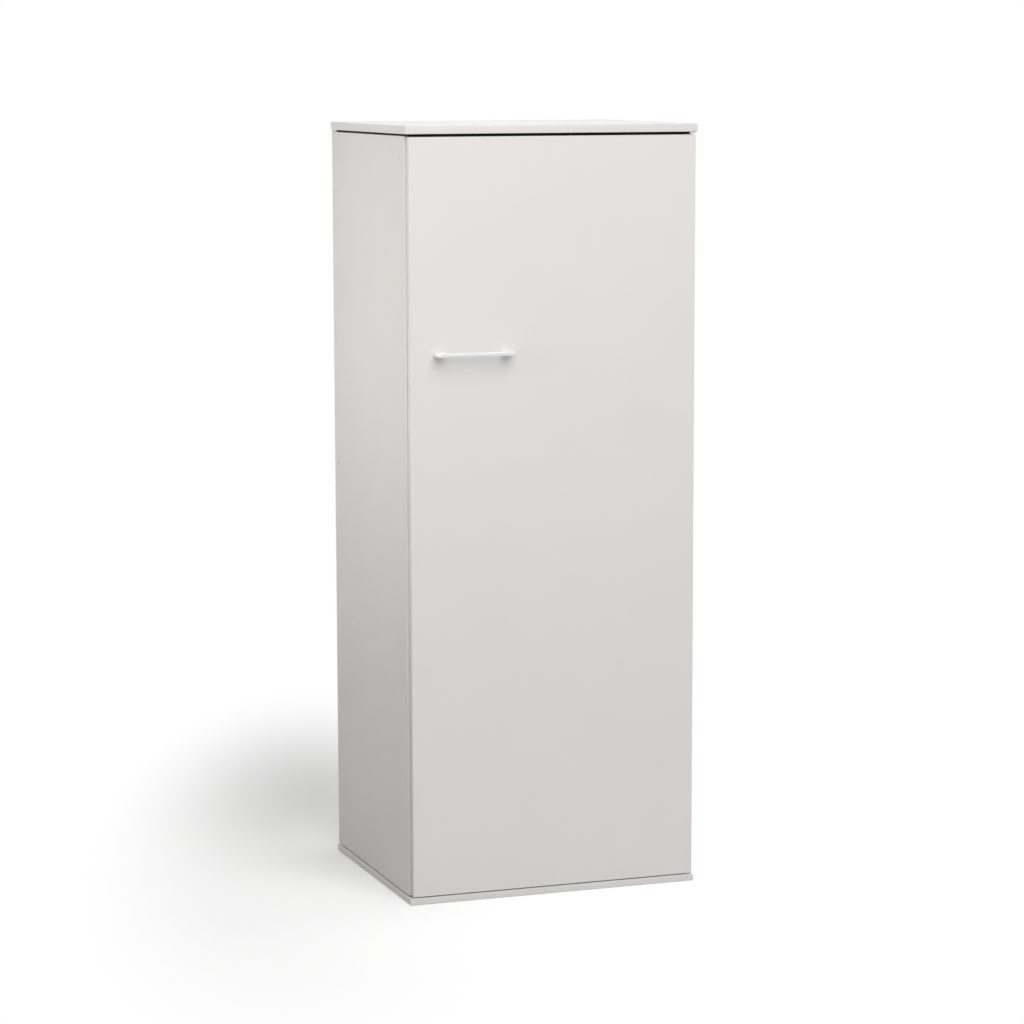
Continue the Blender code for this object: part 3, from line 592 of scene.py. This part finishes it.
def handle_bow(sizes):
    """A bow whose outer and inner edges each run off the door, round a bend and along the bar. At each step
    along it the section is a rounded square: from the middle of the two edges, half their distance times a
    power of the cosine, and half the height times a power of the sine. The height tapers to the bar."""
    low, high, middle, half = extents("handle")
    turn = np.linspace(0, math.pi / 2, BEND_STEPS)

    def edge(leg, bar, bend):
        legs = np.linspace(high[1], bar + bend, LEG_STEPS, endpoint=False)
        bars = np.linspace(leg + bend, middle[0], BAR_STEPS)[1:]
        x = np.concatenate([np.full(LEG_STEPS, leg), leg + bend * (1 - np.cos(turn)), bars])
        y = np.concatenate([legs, bar + bend * (1 - np.sin(turn)), np.full(len(bars), bar)])
        left = np.stack([x, y], axis=-1)
        right = left[-2::-1] * np.array([-1, 1]) + np.array([2 * middle[0], 0])
        return np.concatenate([left, right])

    outer = edge(low[0], low[1], sizes.handle_bend)
    inner = edge(low[0] + sizes.handle_foot, low[1] + sizes.handle_bar, sizes.handle_fillet)
    spine, reach = (outer + inner) / 2, (outer - inner) / 2
    from_end = np.minimum(spine[:, 0] - low[0], high[0] - spine[:, 0])
    taper = smooth_step(from_end / sizes.handle_foot - TAPER_START)[:, None]
    foot_half, bar_half = half[2], sizes.handle_bar / 2
    half_height = foot_half + (bar_half - foot_half) * taper
    power = 2 / (FOOT_SQUARENESS + (BAR_SQUARENESS - FOOT_SQUARENESS) * taper)
    round_section = np.linspace(0, TURN, SECTION_STEPS, endpoint=False)
    cosine, sine = np.cos(round_section), np.sin(round_section)
    across = np.sign(cosine) * abs(cosine) ** power
    up = np.sign(sine) * abs(sine) ** power
    points = np.zeros((len(spine), SECTION_STEPS, 3))
    points[:, :, :2] = spine[:, None] + reach[:, None] * across[:, :, None]
    points[:, :, 2] = middle[2] + half_height * up
    return grid(points, caps=True)


def make_handle(sizes):
    add_piece("bow_handle", [handle_bow(sizes)], powder_coated_steel, "door", "handle_white", "handle")
    for hand in HANDS:
        node = f"handle_screw_{hand}"
        _, _, _, half = extents(node)
        shape = screw(half[0], length=2 * half[1], **HANDLE_SCREW)
        shape = placed(shape, face(node, Y_AXIS), Y_AXIS, X_AXIS)
        add_piece(f"turned_{node}", [shape], zinc_plated_steel, "door", "screw_steel", node)


# Hinges

# The cup's wings, their tips rounded by a share of their half width
WING_HALF_WIDTH = 0.013
WING_THICKNESS = 0.001
WING_TIP_SHARE = 0.75
# The tongue that carries the cup pin, with half its thickness; the arm's nose is as thick
TONGUE_RADIUS = 0.003
TONGUE_HALF = 0.004
TONGUE_ROUNDING = 0.0004
# The links: half a limb's width, the knee's distance from the cup pin and from the front, its bend, and the
# thickness of the plates
LIMB_HALF_WIDTH = 0.0029
KNEE_REACH = 0.0051
KNEE_RISE = 0.003
KNEE_BEND = 0.0045
LINK_THICKNESS = 0.0017
PIN_RADIUS = 0.0015
# The arm: its shoulder behind the carcass's front, half its width there, its taper's length, and its nose
ARM_SHOULDER = 0.003
SHOULDER_HALF_WIDTH = 0.0045
ARM_TAPER = 0.009
ARM_CORNER = 0.003
ARM_ROUNDING = 0.0014
NOSE_RADIUS = 0.0035
NOSE_ROOT = 0.008
# The mounting plate: its base and the riser on it
PLATE_HALF_DEPTH = 0.009
PLATE_THICKNESS = 0.003
PLATE_ROUNDING = 0.0006
RISER_HALF_HEIGHT = 0.008
RISER_CORNER = 0.0015
# Screws: their places from the middle of the cup or plate, or from the carcass's front, and their own sizes
CUP_SCREW_RISE = 0.024
PLATE_SCREW_RISE = 0.017
ARM_SCREWS = {"front": 0.016, "rear": 0.044}
HINGE_SCREW = {"head_height": 0.0016, "shank_radius": 0.0016, "length": 0.008}


def cup_shapes(number, sizes):
    """A turned cup with rounded lip and floor, two wings whose inner edge is an arc of the cup's own circle,
    and the tongue that carries the cup pin."""
    node = f"hinge_cup_{number}"
    low, _, middle, half = extents(node)
    mouth = face(node, Y_AXIS)
    radius, depth, wall = half[0], 2 * half[1], sizes.cup_wall
    bore, floor = radius - wall, wall - depth
    profile = [(0, -depth), (radius, -depth), (radius, 0), (bore, 0), (bore, floor), (0, floor)]
    cup = turned(rounded(profile, sizes.hinge_rounding), steps=2 * ROUND_STEPS)
    shapes = [placed(cup, mouth, Y_AXIS, X_AXIS)]
    side, reach, inner = WING_HALF_WIDTH, half[2], radius - wall / 2
    start = math.acos(side / inner)
    arc = np.linspace(math.pi - start, start, ROUND_STEPS // 2)
    arc = inner * np.stack([np.cos(arc), np.sin(arc)], axis=-1)
    corners = [(side, inner), (side, reach), (-side, reach), (-side, inner)]
    tip = rounded(corners, side * WING_TIP_SHARE)[1:-1]
    wing = slab(np.concatenate([arc, tip]), -WING_THICKNESS, 0, THIN_ROUNDING)
    for out in (Z_AXIS, -Z_AXIS):
        shapes.append(placed(wing, mouth, Y_AXIS, np.cross(out, Y_AXIS)))
    root = low[1] + wall / 2 + TONGUE_RADIUS
    tongue = bar_outline((0, 0), (0, root - CUP_PIN[1]), TONGUE_RADIUS)
    tongue = slab(tongue, -TONGUE_HALF, TONGUE_HALF, TONGUE_ROUNDING)
    shapes.append(placed(tongue, CUP_PIN + Z_AXIS * middle[2], Z_AXIS, X_AXIS))
    return shapes


def link_shapes(number):
    """Two plates whose middle line runs from the cup pin to the arm pin, bent round the knee, with half a
    limb's width to either side and half a circle at either end, and the two pins across them."""
    low, _, middle, half = extents(f"hinge_link_{number}")
    cup_pin, arm_pin = CUP_PIN[:2], ARM_PIN[:2]
    knee = np.array([cup_pin[0] - KNEE_REACH, low[1] + KNEE_RISE])
    path = rounded([cup_pin, knee, arm_pin], KNEE_BEND)
    heading = np.gradient(path, axis=0)
    heading *= LIMB_HALF_WIDTH / np.linalg.norm(heading, axis=1, keepdims=True)
    side = np.stack([-heading[:, 1], heading[:, 0]], axis=-1)
    turn = np.linspace(0, math.pi, ROUND_STEPS // 2)[1:-1, None]
    end = path[-1] - side[-1] * np.cos(turn) + heading[-1] * np.sin(turn)
    begin = path[0] + side[0] * np.cos(turn) - heading[0] * np.sin(turn)
    outline = np.concatenate([path - side, end, (path + side)[::-1], begin])
    outer = half[2]
    inner = outer - LINK_THICKNESS
    level = Z_AXIS * middle[2]
    shapes = []
    for bottom, top in ((-outer, -inner), (inner, outer)):
        plate = slab(outline, bottom, top, THIN_ROUNDING)
        shapes.append(placed(plate, level, Z_AXIS, X_AXIS))
    profile = rounded([(0, -outer), (PIN_RADIUS, -outer), (PIN_RADIUS, outer), (0, outer)], THIN_ROUNDING)
    for pin in (CUP_PIN, ARM_PIN):
        shapes.append(placed(turned(profile), pin + level, Z_AXIS, X_AXIS))
    return shapes


def arm_shapes(number):
    """A slab along the side's inner face, tapering to its nose, and the round-ended nose that carries the
    pin."""
    low, high, middle, half = extents(f"hinge_arm_{number}")
    shoulder, width = CARCASS_FRONT + ARM_SHOULDER, half[2]
    upper = [(high[1], width), (shoulder + ARM_TAPER, width), (shoulder, SHOULDER_HALF_WIDTH)]
    lower = [(along, -across) for along, across in reversed(upper)]
    body = slab(rounded(lower + upper, ARM_CORNER, closed=True), low[0], high[0], ARM_ROUNDING)
    eye = ARM_PIN[:2]
    nose = bar_outline(eye, (eye[0], shoulder + NOSE_ROOT), NOSE_RADIUS)
    nose = slab(nose, -TONGUE_HALF, TONGUE_HALF, TONGUE_ROUNDING)
    level = Z_AXIS * middle[2]
    return [placed(body, level, X_AXIS, Y_AXIS), placed(nose, level, Z_AXIS, X_AXIS)]


def plate_shapes(number):
    """A round-ended base on the side's inner face, and the rounded riser that carries the arm."""
    low, high, middle, half = extents(f"hinge_plate_{number}")
    reach = half[2] - PLATE_HALF_DEPTH
    base = bar_outline((middle[1], -reach), (middle[1], reach), PLATE_HALF_DEPTH)
    base = slab(base, high[0] - PLATE_THICKNESS, high[0], PLATE_ROUNDING)
    rise = RISER_HALF_HEIGHT
    riser = [(low[1], -rise), (high[1], -rise), (high[1], rise), (low[1], rise)]
    riser = slab(rounded(riser, RISER_CORNER, closed=True), low[0], high[0], PLATE_ROUNDING)
    return [placed(shape, Z_AXIS * middle[2], X_AXIS, Y_AXIS) for shape in (base, riser)]


def hinge_screws(number):
    """Name, place, directions and body of each screw: two in the cup, two in the plate, two in the arm."""
    cup = face(f"hinge_cup_{number}", Y_AXIS) + SCREW_PROUD * Y_AXIS
    plate = face(f"hinge_plate_{number}", X_AXIS) - (PLATE_THICKNESS + SCREW_PROUD) * X_AXIS
    arm = face(f"hinge_arm_{number}", -X_AXIS) - SCREW_PROUD * X_AXIS
    for side, sign in (("upper", 1), ("lower", -1)):
        place = cup + sign * CUP_SCREW_RISE * Z_AXIS
        yield f"cup_screw_{number}_{side}", place, Y_AXIS, X_AXIS, "door"
        place = plate + sign * PLATE_SCREW_RISE * Z_AXIS
        yield f"plate_screw_{number}_{side}", place, -X_AXIS, Y_AXIS, "carcass"
    for side, along in ARM_SCREWS.items():
        place = np.array([arm[0], CARCASS_FRONT + along, plate[2]])
        yield f"arm_screw_{number}_{side}", place, -X_AXIS, Y_AXIS, "carcass"


def make_hinges(sizes):
    for number in HINGES:
        for part, shapes, body in (
            ("cup", cup_shapes(number, sizes), "door"),
            ("link", link_shapes(number), "hinge_links"),
            ("arm", arm_shapes(number), "carcass"),
            ("plate", plate_shapes(number), "carcass"),
        ):
            name = f"pressed_{part}_{number}"
            add_piece(name, shapes, nickel_plated_steel, body, "hinge_steel", f"hinge_{part}_{number}")
        for name, place, out, across, body in hinge_screws(number):
            shape = placed(screw(sizes.hinge_screw, **HINGE_SCREW), place, out, across)
            add_piece(name, [shape], zinc_plated_steel, body, "screw_steel")


# Rail, sockets, pins, screws, plugs and bumpers

# The sockets round the rail: clearance, collar, flange, and the screws above and below
SOCKET_CLEARANCE = 0.0003
SOCKET_COLLAR = 0.0033
SOCKET_ROUNDING = 0.0008
FLANGE_THICKNESS = 0.003
SOCKET_SCREW_RISE = 0.020
SOCKET_SCREW = {"head_radius": 0.0028, "head_height": 0.0014, "shank_radius": 0.0012, "length": 0.008}
# Depth of the groove round a shelf pin, which is also the length of either slope and half that of its floor
PIN_GROOVE = 0.0004
PIN_ROUNDING = 0.0004
BACK_SCREW = {"head_height": 0.003, "shank_radius": 0.002, "dome": 0.05}
# A plug: the flat of its head as a share of the radius, the heights of its rim and neck, and its shank
PLUG_FLAT_SHARE = 0.7
PLUG_RIM = 0.0006
PLUG_NECK = 0.0007
PLUG_SHANK = 0.0025
PLUG_ROUNDING = 0.0004


def make_rail(sizes):
    """A tube and two sockets, closed profiles turned round the rail's axis, and the sockets' screws."""
    _, _, middle, half = extents("clothes_rail")
    reach, radius = half[0], half[2]
    bore = radius - sizes.rail_wall
    profile = [(bore, -reach), (radius, -reach), (radius, reach), (bore, reach)]
    tube = turned(rounded(profile, THIN_ROUNDING, closed=True), ring=True)
    tube = placed(tube, middle, X_AXIS, Y_AXIS)
    add_piece("drawn_rail", [tube], chromed_steel, "carcass", "rail_chrome", "clothes_rail")
    bore, collar, step = radius + SOCKET_CLEARANCE, radius + SOCKET_COLLAR, FLANGE_THICKNESS
    for hand, sign in HANDS.items():
        node = f"rail_socket_{hand}"
        _, _, _, half = extents(node)
        length, flange = 2 * half[0], half[2]
        inward, seat = -sign * X_AXIS, face(node, sign * X_AXIS)
        profile = [(bore, 0), (flange, 0), (flange, step), (collar, step), (collar, length), (bore, length)]
        socket = turned(rounded(profile, SOCKET_ROUNDING, closed=True), ring=True)
        socket = placed(socket, seat, inward, Y_AXIS)
        add_piece(f"turned_{node}", [socket], chromed_steel, "carcass", "rail_chrome", node)
        for side, rise in (("upper", SOCKET_SCREW_RISE), ("lower", -SOCKET_SCREW_RISE)):
            place = seat + inward * (FLANGE_THICKNESS + SCREW_PROUD) + Z_AXIS * rise
            shape = placed(screw(**SOCKET_SCREW), place, inward, Y_AXIS)
            add_piece(f"socket_screw_{hand}_{side}", [shape], zinc_plated_steel, "carcass", "screw_steel")


def make_shelf_pins():
    """Turned pins: a straight profile with rounded ends and a sloping groove next to the side."""
    for hand, sign in HANDS.items():
        for end in ("front", "rear"):
            node = f"shelf_pin_{hand}_{end}"
            _, _, middle, half = extents(node)
            reach, radius = half[0], half[2]
            groove = radius - PIN_GROOVE
            profile = [(0, -reach), (radius, -reach), (radius, -3 * PIN_GROOVE), (groove, -2 * PIN_GROOVE)]
            profile += [(groove, 0), (radius, PIN_GROOVE), (radius, reach), (0, reach)]
            shape = placed(turned(rounded(profile, PIN_ROUNDING)), middle, -sign * X_AXIS, Y_AXIS)
            add_piece(f"turned_{node}", [shape], zinc_plated_steel, "carcass", "screw_steel", node)


def back_screw(radius, length):
    """A screw with a nearly flat head."""
    return screw(radius, length=length, **BACK_SCREW)


def hole_plug(radius, length):
    """A turned plug: a flat that slopes to the rim of its head, and a straight shank."""
    head = [(0, 0), (radius * PLUG_FLAT_SHARE, 0), (radius, -PLUG_RIM)]
    shank = [(PLUG_SHANK, -PLUG_NECK), (PLUG_SHANK, -length), (0, -length)]
    return turned(rounded(head + shank, PLUG_ROUNDING))


# Nodes in the sides by the start of their names: the shape, the new name's start, the finish and its slot
SIDE_FASTENERS = {
    "back_screw": (back_screw, "turned", zinc_plated_steel, "screw_steel"),
    "hole_plug": (hole_plug, "moulded", white_polyethylene, "plug_white"),
}


def make_side_fasteners():
    for hand, sign in HANDS.items():
        out = sign * X_AXIS
        for kind, (shape, made, builder, slot) in SIDE_FASTENERS.items():
            for node in sorted(frame["nodes"]):
                if node.startswith(f"{kind}_{hand}"):
                    _, _, _, half = extents(node)
                    fastener = placed(shape(half[2], 2 * half[0]), face(node, out), out, Y_AXIS)
                    add_piece(f"{made}_{node}", [fastener], builder, "carcass", slot, node)


def make_bumpers():
    """Turned domes: the radius times the cosine of a quarter turn, and the height times its sine."""
    turn = np.linspace(math.pi / 2, 0, 2 * ARRIS_STEPS)
    for where in ("upper", "lower"):
        node = f"door_bumper_{where}"
        _, _, _, half = extents(node)
        dome = np.stack([half[2] * np.cos(turn), 2 * half[1] * np.sin(turn)], axis=-1)
        profile = np.concatenate([dome, [(0, 0)]])
        shape = placed(turned(profile), face(node, Y_AXIS), -Y_AXIS, X_AXIS)
        add_piece(f"cast_{node}", [shape], clear_silicone, "carcass", "bumper_clear", node)


# Stage

WHITE = (1, 1, 1, 1)
FLOOR_HALF = 9.0
FLOOR_DROP = 0.0002
FLOOR_POINTS = 9
# The shadow's ellipse on the floor: its middle, its half axes, at which the floor is white, and its turn
SHADOW_CENTRE = (-0.345, 0.347, 0)
SHADOW_REACH = (0.480, 1.829, 1)
SHADOW_TURN = math.radians(-16.6)
# The share of its own colour that the paper gains where it is seen
PAPER_LIFT = 0.78
# What the lamps are turned to, with the places of the gridded ones before it
KEY_TARGET = (0, 0, 0.8)
TOP_TARGET = (0, 0.05, 1.52)
GRID_LAMPS = {
    "left": ((-1.9, -0.38, 1.38), (-0.3, 0.02, 1.22)),
    "right": ((2.4, 0.2, 1.0), (0.3, 0, 0.9)),
    "rear": ((0, 2.4, 0.5), (0, 0.25, 0.95)),
}


def background_rays(tree):
    """1 for the rays that see the background: straight from the camera, in a mirror or through glass."""
    path = add_node(tree, "LightPath").outputs
    direct = {0: path["Is Camera Ray"], 1: path["Is Glossy Ray"]}
    first = add_node(tree, "Math", direct, operation="MAXIMUM")
    either = {0: first.outputs[0], 1: path["Is Transmission Ray"]}
    return add_node(tree, "Math", either, operation="MAXIMUM").outputs[0]


def mixed(tree, share, first, second):
    """The first shader where the share is 0, the second where it is 1, and a mix between."""
    return add_node(tree, "MixShader", {0: share, 1: first, 2: second}).outputs["Shader"]


def studio_floor(name, colours):
    """Pale seamless paper: it takes the soft shadow near the wardrobe and runs out to white further off."""
    material, shader, place = new_finish(name, colours.floor, roughness=0.9)
    tint(shader, noise(place, size=0.004, detail=3.0), colours.floor, dark=0.995)
    set_inputs(shader, {"Specular IOR Level": 0.0})
    tree, paper = material.node_tree, shader.outputs["BSDF"]
    # Where it is seen, the paper is paler, so that it is nearly white where the shadow doesn't reach
    paler = (*(PAPER_LIFT * channel for channel in colours.floor), 1)
    lift = add_node(tree, "BsdfDiffuse", {"Color": paler})
    lit = add_node(tree, "AddShader", {0: paper, 1: lift.outputs["BSDF"]})
    white = add_node(tree, "Emission", {"Color": WHITE, "Strength": 1.0})
    turn = (0, 0, SHADOW_TURN)
    inputs = {"Vector": place, "Location": SHADOW_CENTRE, "Rotation": turn, "Scale": SHADOW_REACH}
    ellipse = add_node(tree, "Mapping", inputs, vector_type="TEXTURE")
    distance = add_node(tree, "VectorMath", {0: ellipse.outputs["Vector"]}, operation="LENGTH")
    inputs = {"Value": distance.outputs["Value"]}
    fade = add_node(tree, "MapRange", inputs, interpolation_type="SMOOTHSTEP")
    seen = mixed(tree, fade.outputs["Result"], lit.outputs["Shader"], white.outputs["Emission"])
    either = mixed(tree, background_rays(tree), paper, seen)
    set_inputs(tree.nodes["Material Output"], {"Surface": either})
    return material


def make_floor():
    """A level square of equal steps, a little under the wardrobe."""
    span = np.linspace(-FLOOR_HALF, FLOOR_HALF, FLOOR_POINTS)
    x, y = np.meshgrid(span, span, indexing="ij")
    points, blocks = grid(np.stack([x, y, np.full_like(x, -FLOOR_DROP)], axis=-1), wrap_columns=False)
    mesh = bpy.data.meshes.new("studio_floor")
    mesh.from_pydata(points.tolist(), [], blocks[0][:, ::-1].tolist())
    mesh.materials.append(finish(studio_floor))
    floor = bpy.data.objects.new("studio_floor", mesh)
    bpy.context.scene.collection.objects.link(floor)


def make_world(scene, stage):
    """Even light from all round, with white where the background is seen."""
    world = bpy.data.worlds.new("studio")
    world.use_nodes = True
    scene.world = world
    tree = world.node_tree
    soft = tree.nodes["Background"]
    set_inputs(soft, {"Color": WHITE, "Strength": stage.ambient})
    white = add_node(tree, "Background", {"Color": WHITE, "Strength": 1.0})
    either = mixed(tree, background_rays(tree), soft.outputs["Background"], white.outputs["Background"])
    set_inputs(tree.nodes["World Output"], {"Surface": either})


def add_lamp(scene, name, place, target, size, power, spread=math.pi, colour=(1, 1, 1)):
    """A soft square lamp at a place, turned to its target, lighting within its spread and itself unseen."""
    lamp = bpy.data.lights.new(name, "AREA")
    lamp.shape = "SQUARE"
    lamp.size = size
    lamp.energy = power
    lamp.spread = spread
    lamp.color = colour
    holder = bpy.data.objects.new(name, lamp)
    holder.location = place
    holder.rotation_euler = (Vector(target) - Vector(place)).to_track_quat("-Z", "Y").to_euler()
    holder.visible_camera = False
    scene.collection.objects.link(holder)


def make_camera(scene, stage):
    camera = bpy.data.cameras.new("camera")
    camera.lens = stage.lens
    camera.shift_y = stage.shift
    holder = bpy.data.objects.new("camera", camera)
    holder.location = stage.camera_place
    level = Euler((math.pi / 2 - stage.camera_tilt, 0, -stage.camera_turn)).to_matrix()
    holder.rotation_euler = (level @ Matrix.Rotation(stage.camera_roll, 3, "Z")).to_euler()
    scene.collection.objects.link(holder)
    scene.camera = holder


def make_stage(scene):
    stage = scene.wardrobe_stage
    scene.view_settings.view_transform = "Standard"
    make_floor()
    make_world(scene, stage)
    add_lamp(scene, "key_lamp", stage.key_place, KEY_TARGET, stage.key_size, stage.key_power)
    for name, (place, target) in GRID_LAMPS.items():
        power = getattr(stage, f"{name}_power")
        light = (power, stage.grid_spread, stage.grid_colour)
        add_lamp(scene, f"{name}_lamp", place, target, stage.grid_size, *light)
    light = (stage.top_power, stage.top_spread)
    add_lamp(scene, "top_lamp", stage.top_place, TOP_TARGET, stage.top_size, *light)
    make_camera(scene, stage)


# Operators, panel and registration


class WARDROBE_OT_boards(bpy.types.Operator):
    """Gives the boards their melamine and their edge bands"""

    bl_idname = "wardrobe.boards"
    bl_label = "Boards"

    def execute(self, context):
        dress_boards(context.scene.wardrobe_sizes)
        return {"FINISHED"}


class WARDROBE_OT_spacers(bpy.types.Operator):
    """Gives the spacer strips their black plastic and the pads their white"""

    bl_idname = "wardrobe.spacers"
    bl_label = "Spacer strips"

    def execute(self, context):
        dress_spacers()
        return {"FINISHED"}


class WARDROBE_OT_handle(bpy.types.Operator):
    """Makes the bow handle and its screws"""

    bl_idname = "wardrobe.handle"
    bl_label = "Handle"

    def execute(self, context):
        make_handle(context.scene.wardrobe_sizes)
        return {"FINISHED"}


class WARDROBE_OT_hinges(bpy.types.Operator):
    """Makes the hinges' cups, links, arms, plates and screws"""

    bl_idname = "wardrobe.hinges"
    bl_label = "Hinges"

    def execute(self, context):
        make_hinges(context.scene.wardrobe_sizes)
        return {"FINISHED"}


class WARDROBE_OT_rail(bpy.types.Operator):
    """Makes the clothes rail, its sockets and their screws"""

    bl_idname = "wardrobe.rail"
    bl_label = "Clothes rail"

    def execute(self, context):
        make_rail(context.scene.wardrobe_sizes)
        return {"FINISHED"}


class WARDROBE_OT_shelf_pins(bpy.types.Operator):
    """Makes the pins under the hat shelf"""

    bl_idname = "wardrobe.shelf_pins"
    bl_label = "Shelf pins"

    def execute(self, context):
        make_shelf_pins()
        return {"FINISHED"}


class WARDROBE_OT_side_fasteners(bpy.types.Operator):
    """Makes the screws and plugs in the sides"""

    bl_idname = "wardrobe.side_fasteners"
    bl_label = "Side screws and plugs"

    def execute(self, context):
        make_side_fasteners()
        return {"FINISHED"}


class WARDROBE_OT_bumpers(bpy.types.Operator):
    """Makes the door bumpers"""

    bl_idname = "wardrobe.bumpers"
    bl_label = "Door bumpers"

    def execute(self, context):
        make_bumpers()
        return {"FINISHED"}


class WARDROBE_OT_stage(bpy.types.Operator):
    """Makes the floor, the light and the camera"""

    bl_idname = "wardrobe.stage"
    bl_label = "Stage"

    def execute(self, context):
        make_stage(context.scene)
        return {"FINISHED"}


PROPERTY_GROUPS = {
    "wardrobe_colours": WardrobeColours,
    "wardrobe_sizes": WardrobeSizes,
    "wardrobe_stage": WardrobeStage,
}
OPERATORS = (
    WARDROBE_OT_boards,
    WARDROBE_OT_spacers,
    WARDROBE_OT_handle,
    WARDROBE_OT_hinges,
    WARDROBE_OT_rail,
    WARDROBE_OT_shelf_pins,
    WARDROBE_OT_side_fasteners,
    WARDROBE_OT_bumpers,
    WARDROBE_OT_stage,
)


class WARDROBE_PT_looks(bpy.types.Panel):
    """Lists the colours, the sizes, the stage and the operators"""

    bl_idname = "WARDROBE_PT_looks"
    bl_label = "Wardrobe"
    bl_space_type = "VIEW_3D"
    bl_region_type = "UI"
    bl_category = "Wardrobe"

    def draw(self, context):
        for group_name, group in PROPERTY_GROUPS.items():
            box = self.layout.box()
            for name in group.__annotations__:
                box.prop(getattr(context.scene, group_name), name)
        for operator in OPERATORS:
            self.layout.operator(operator.bl_idname)


CLASSES = (*PROPERTY_GROUPS.values(), *OPERATORS, WARDROBE_PT_looks)


def register():
    for cls in CLASSES:
        bpy.utils.register_class(cls)
    for name, group in PROPERTY_GROUPS.items():
        setattr(bpy.types.Scene, name, PointerProperty(type=group))


def unregister():
    for name in PROPERTY_GROUPS:
        delattr(bpy.types.Scene, name)
    for cls in reversed(CLASSES):
        bpy.utils.unregister_class(cls)


def main():
    register()
    bpy.ops.wardrobe.boards()
    bpy.ops.wardrobe.spacers()
    bpy.ops.wardrobe.handle()
    bpy.ops.wardrobe.hinges()
    bpy.ops.wardrobe.rail()
    bpy.ops.wardrobe.shelf_pins()
    bpy.ops.wardrobe.side_fasteners()
    bpy.ops.wardrobe.bumpers()
    bpy.ops.wardrobe.stage()


if __name__ == "__main__":
    main()
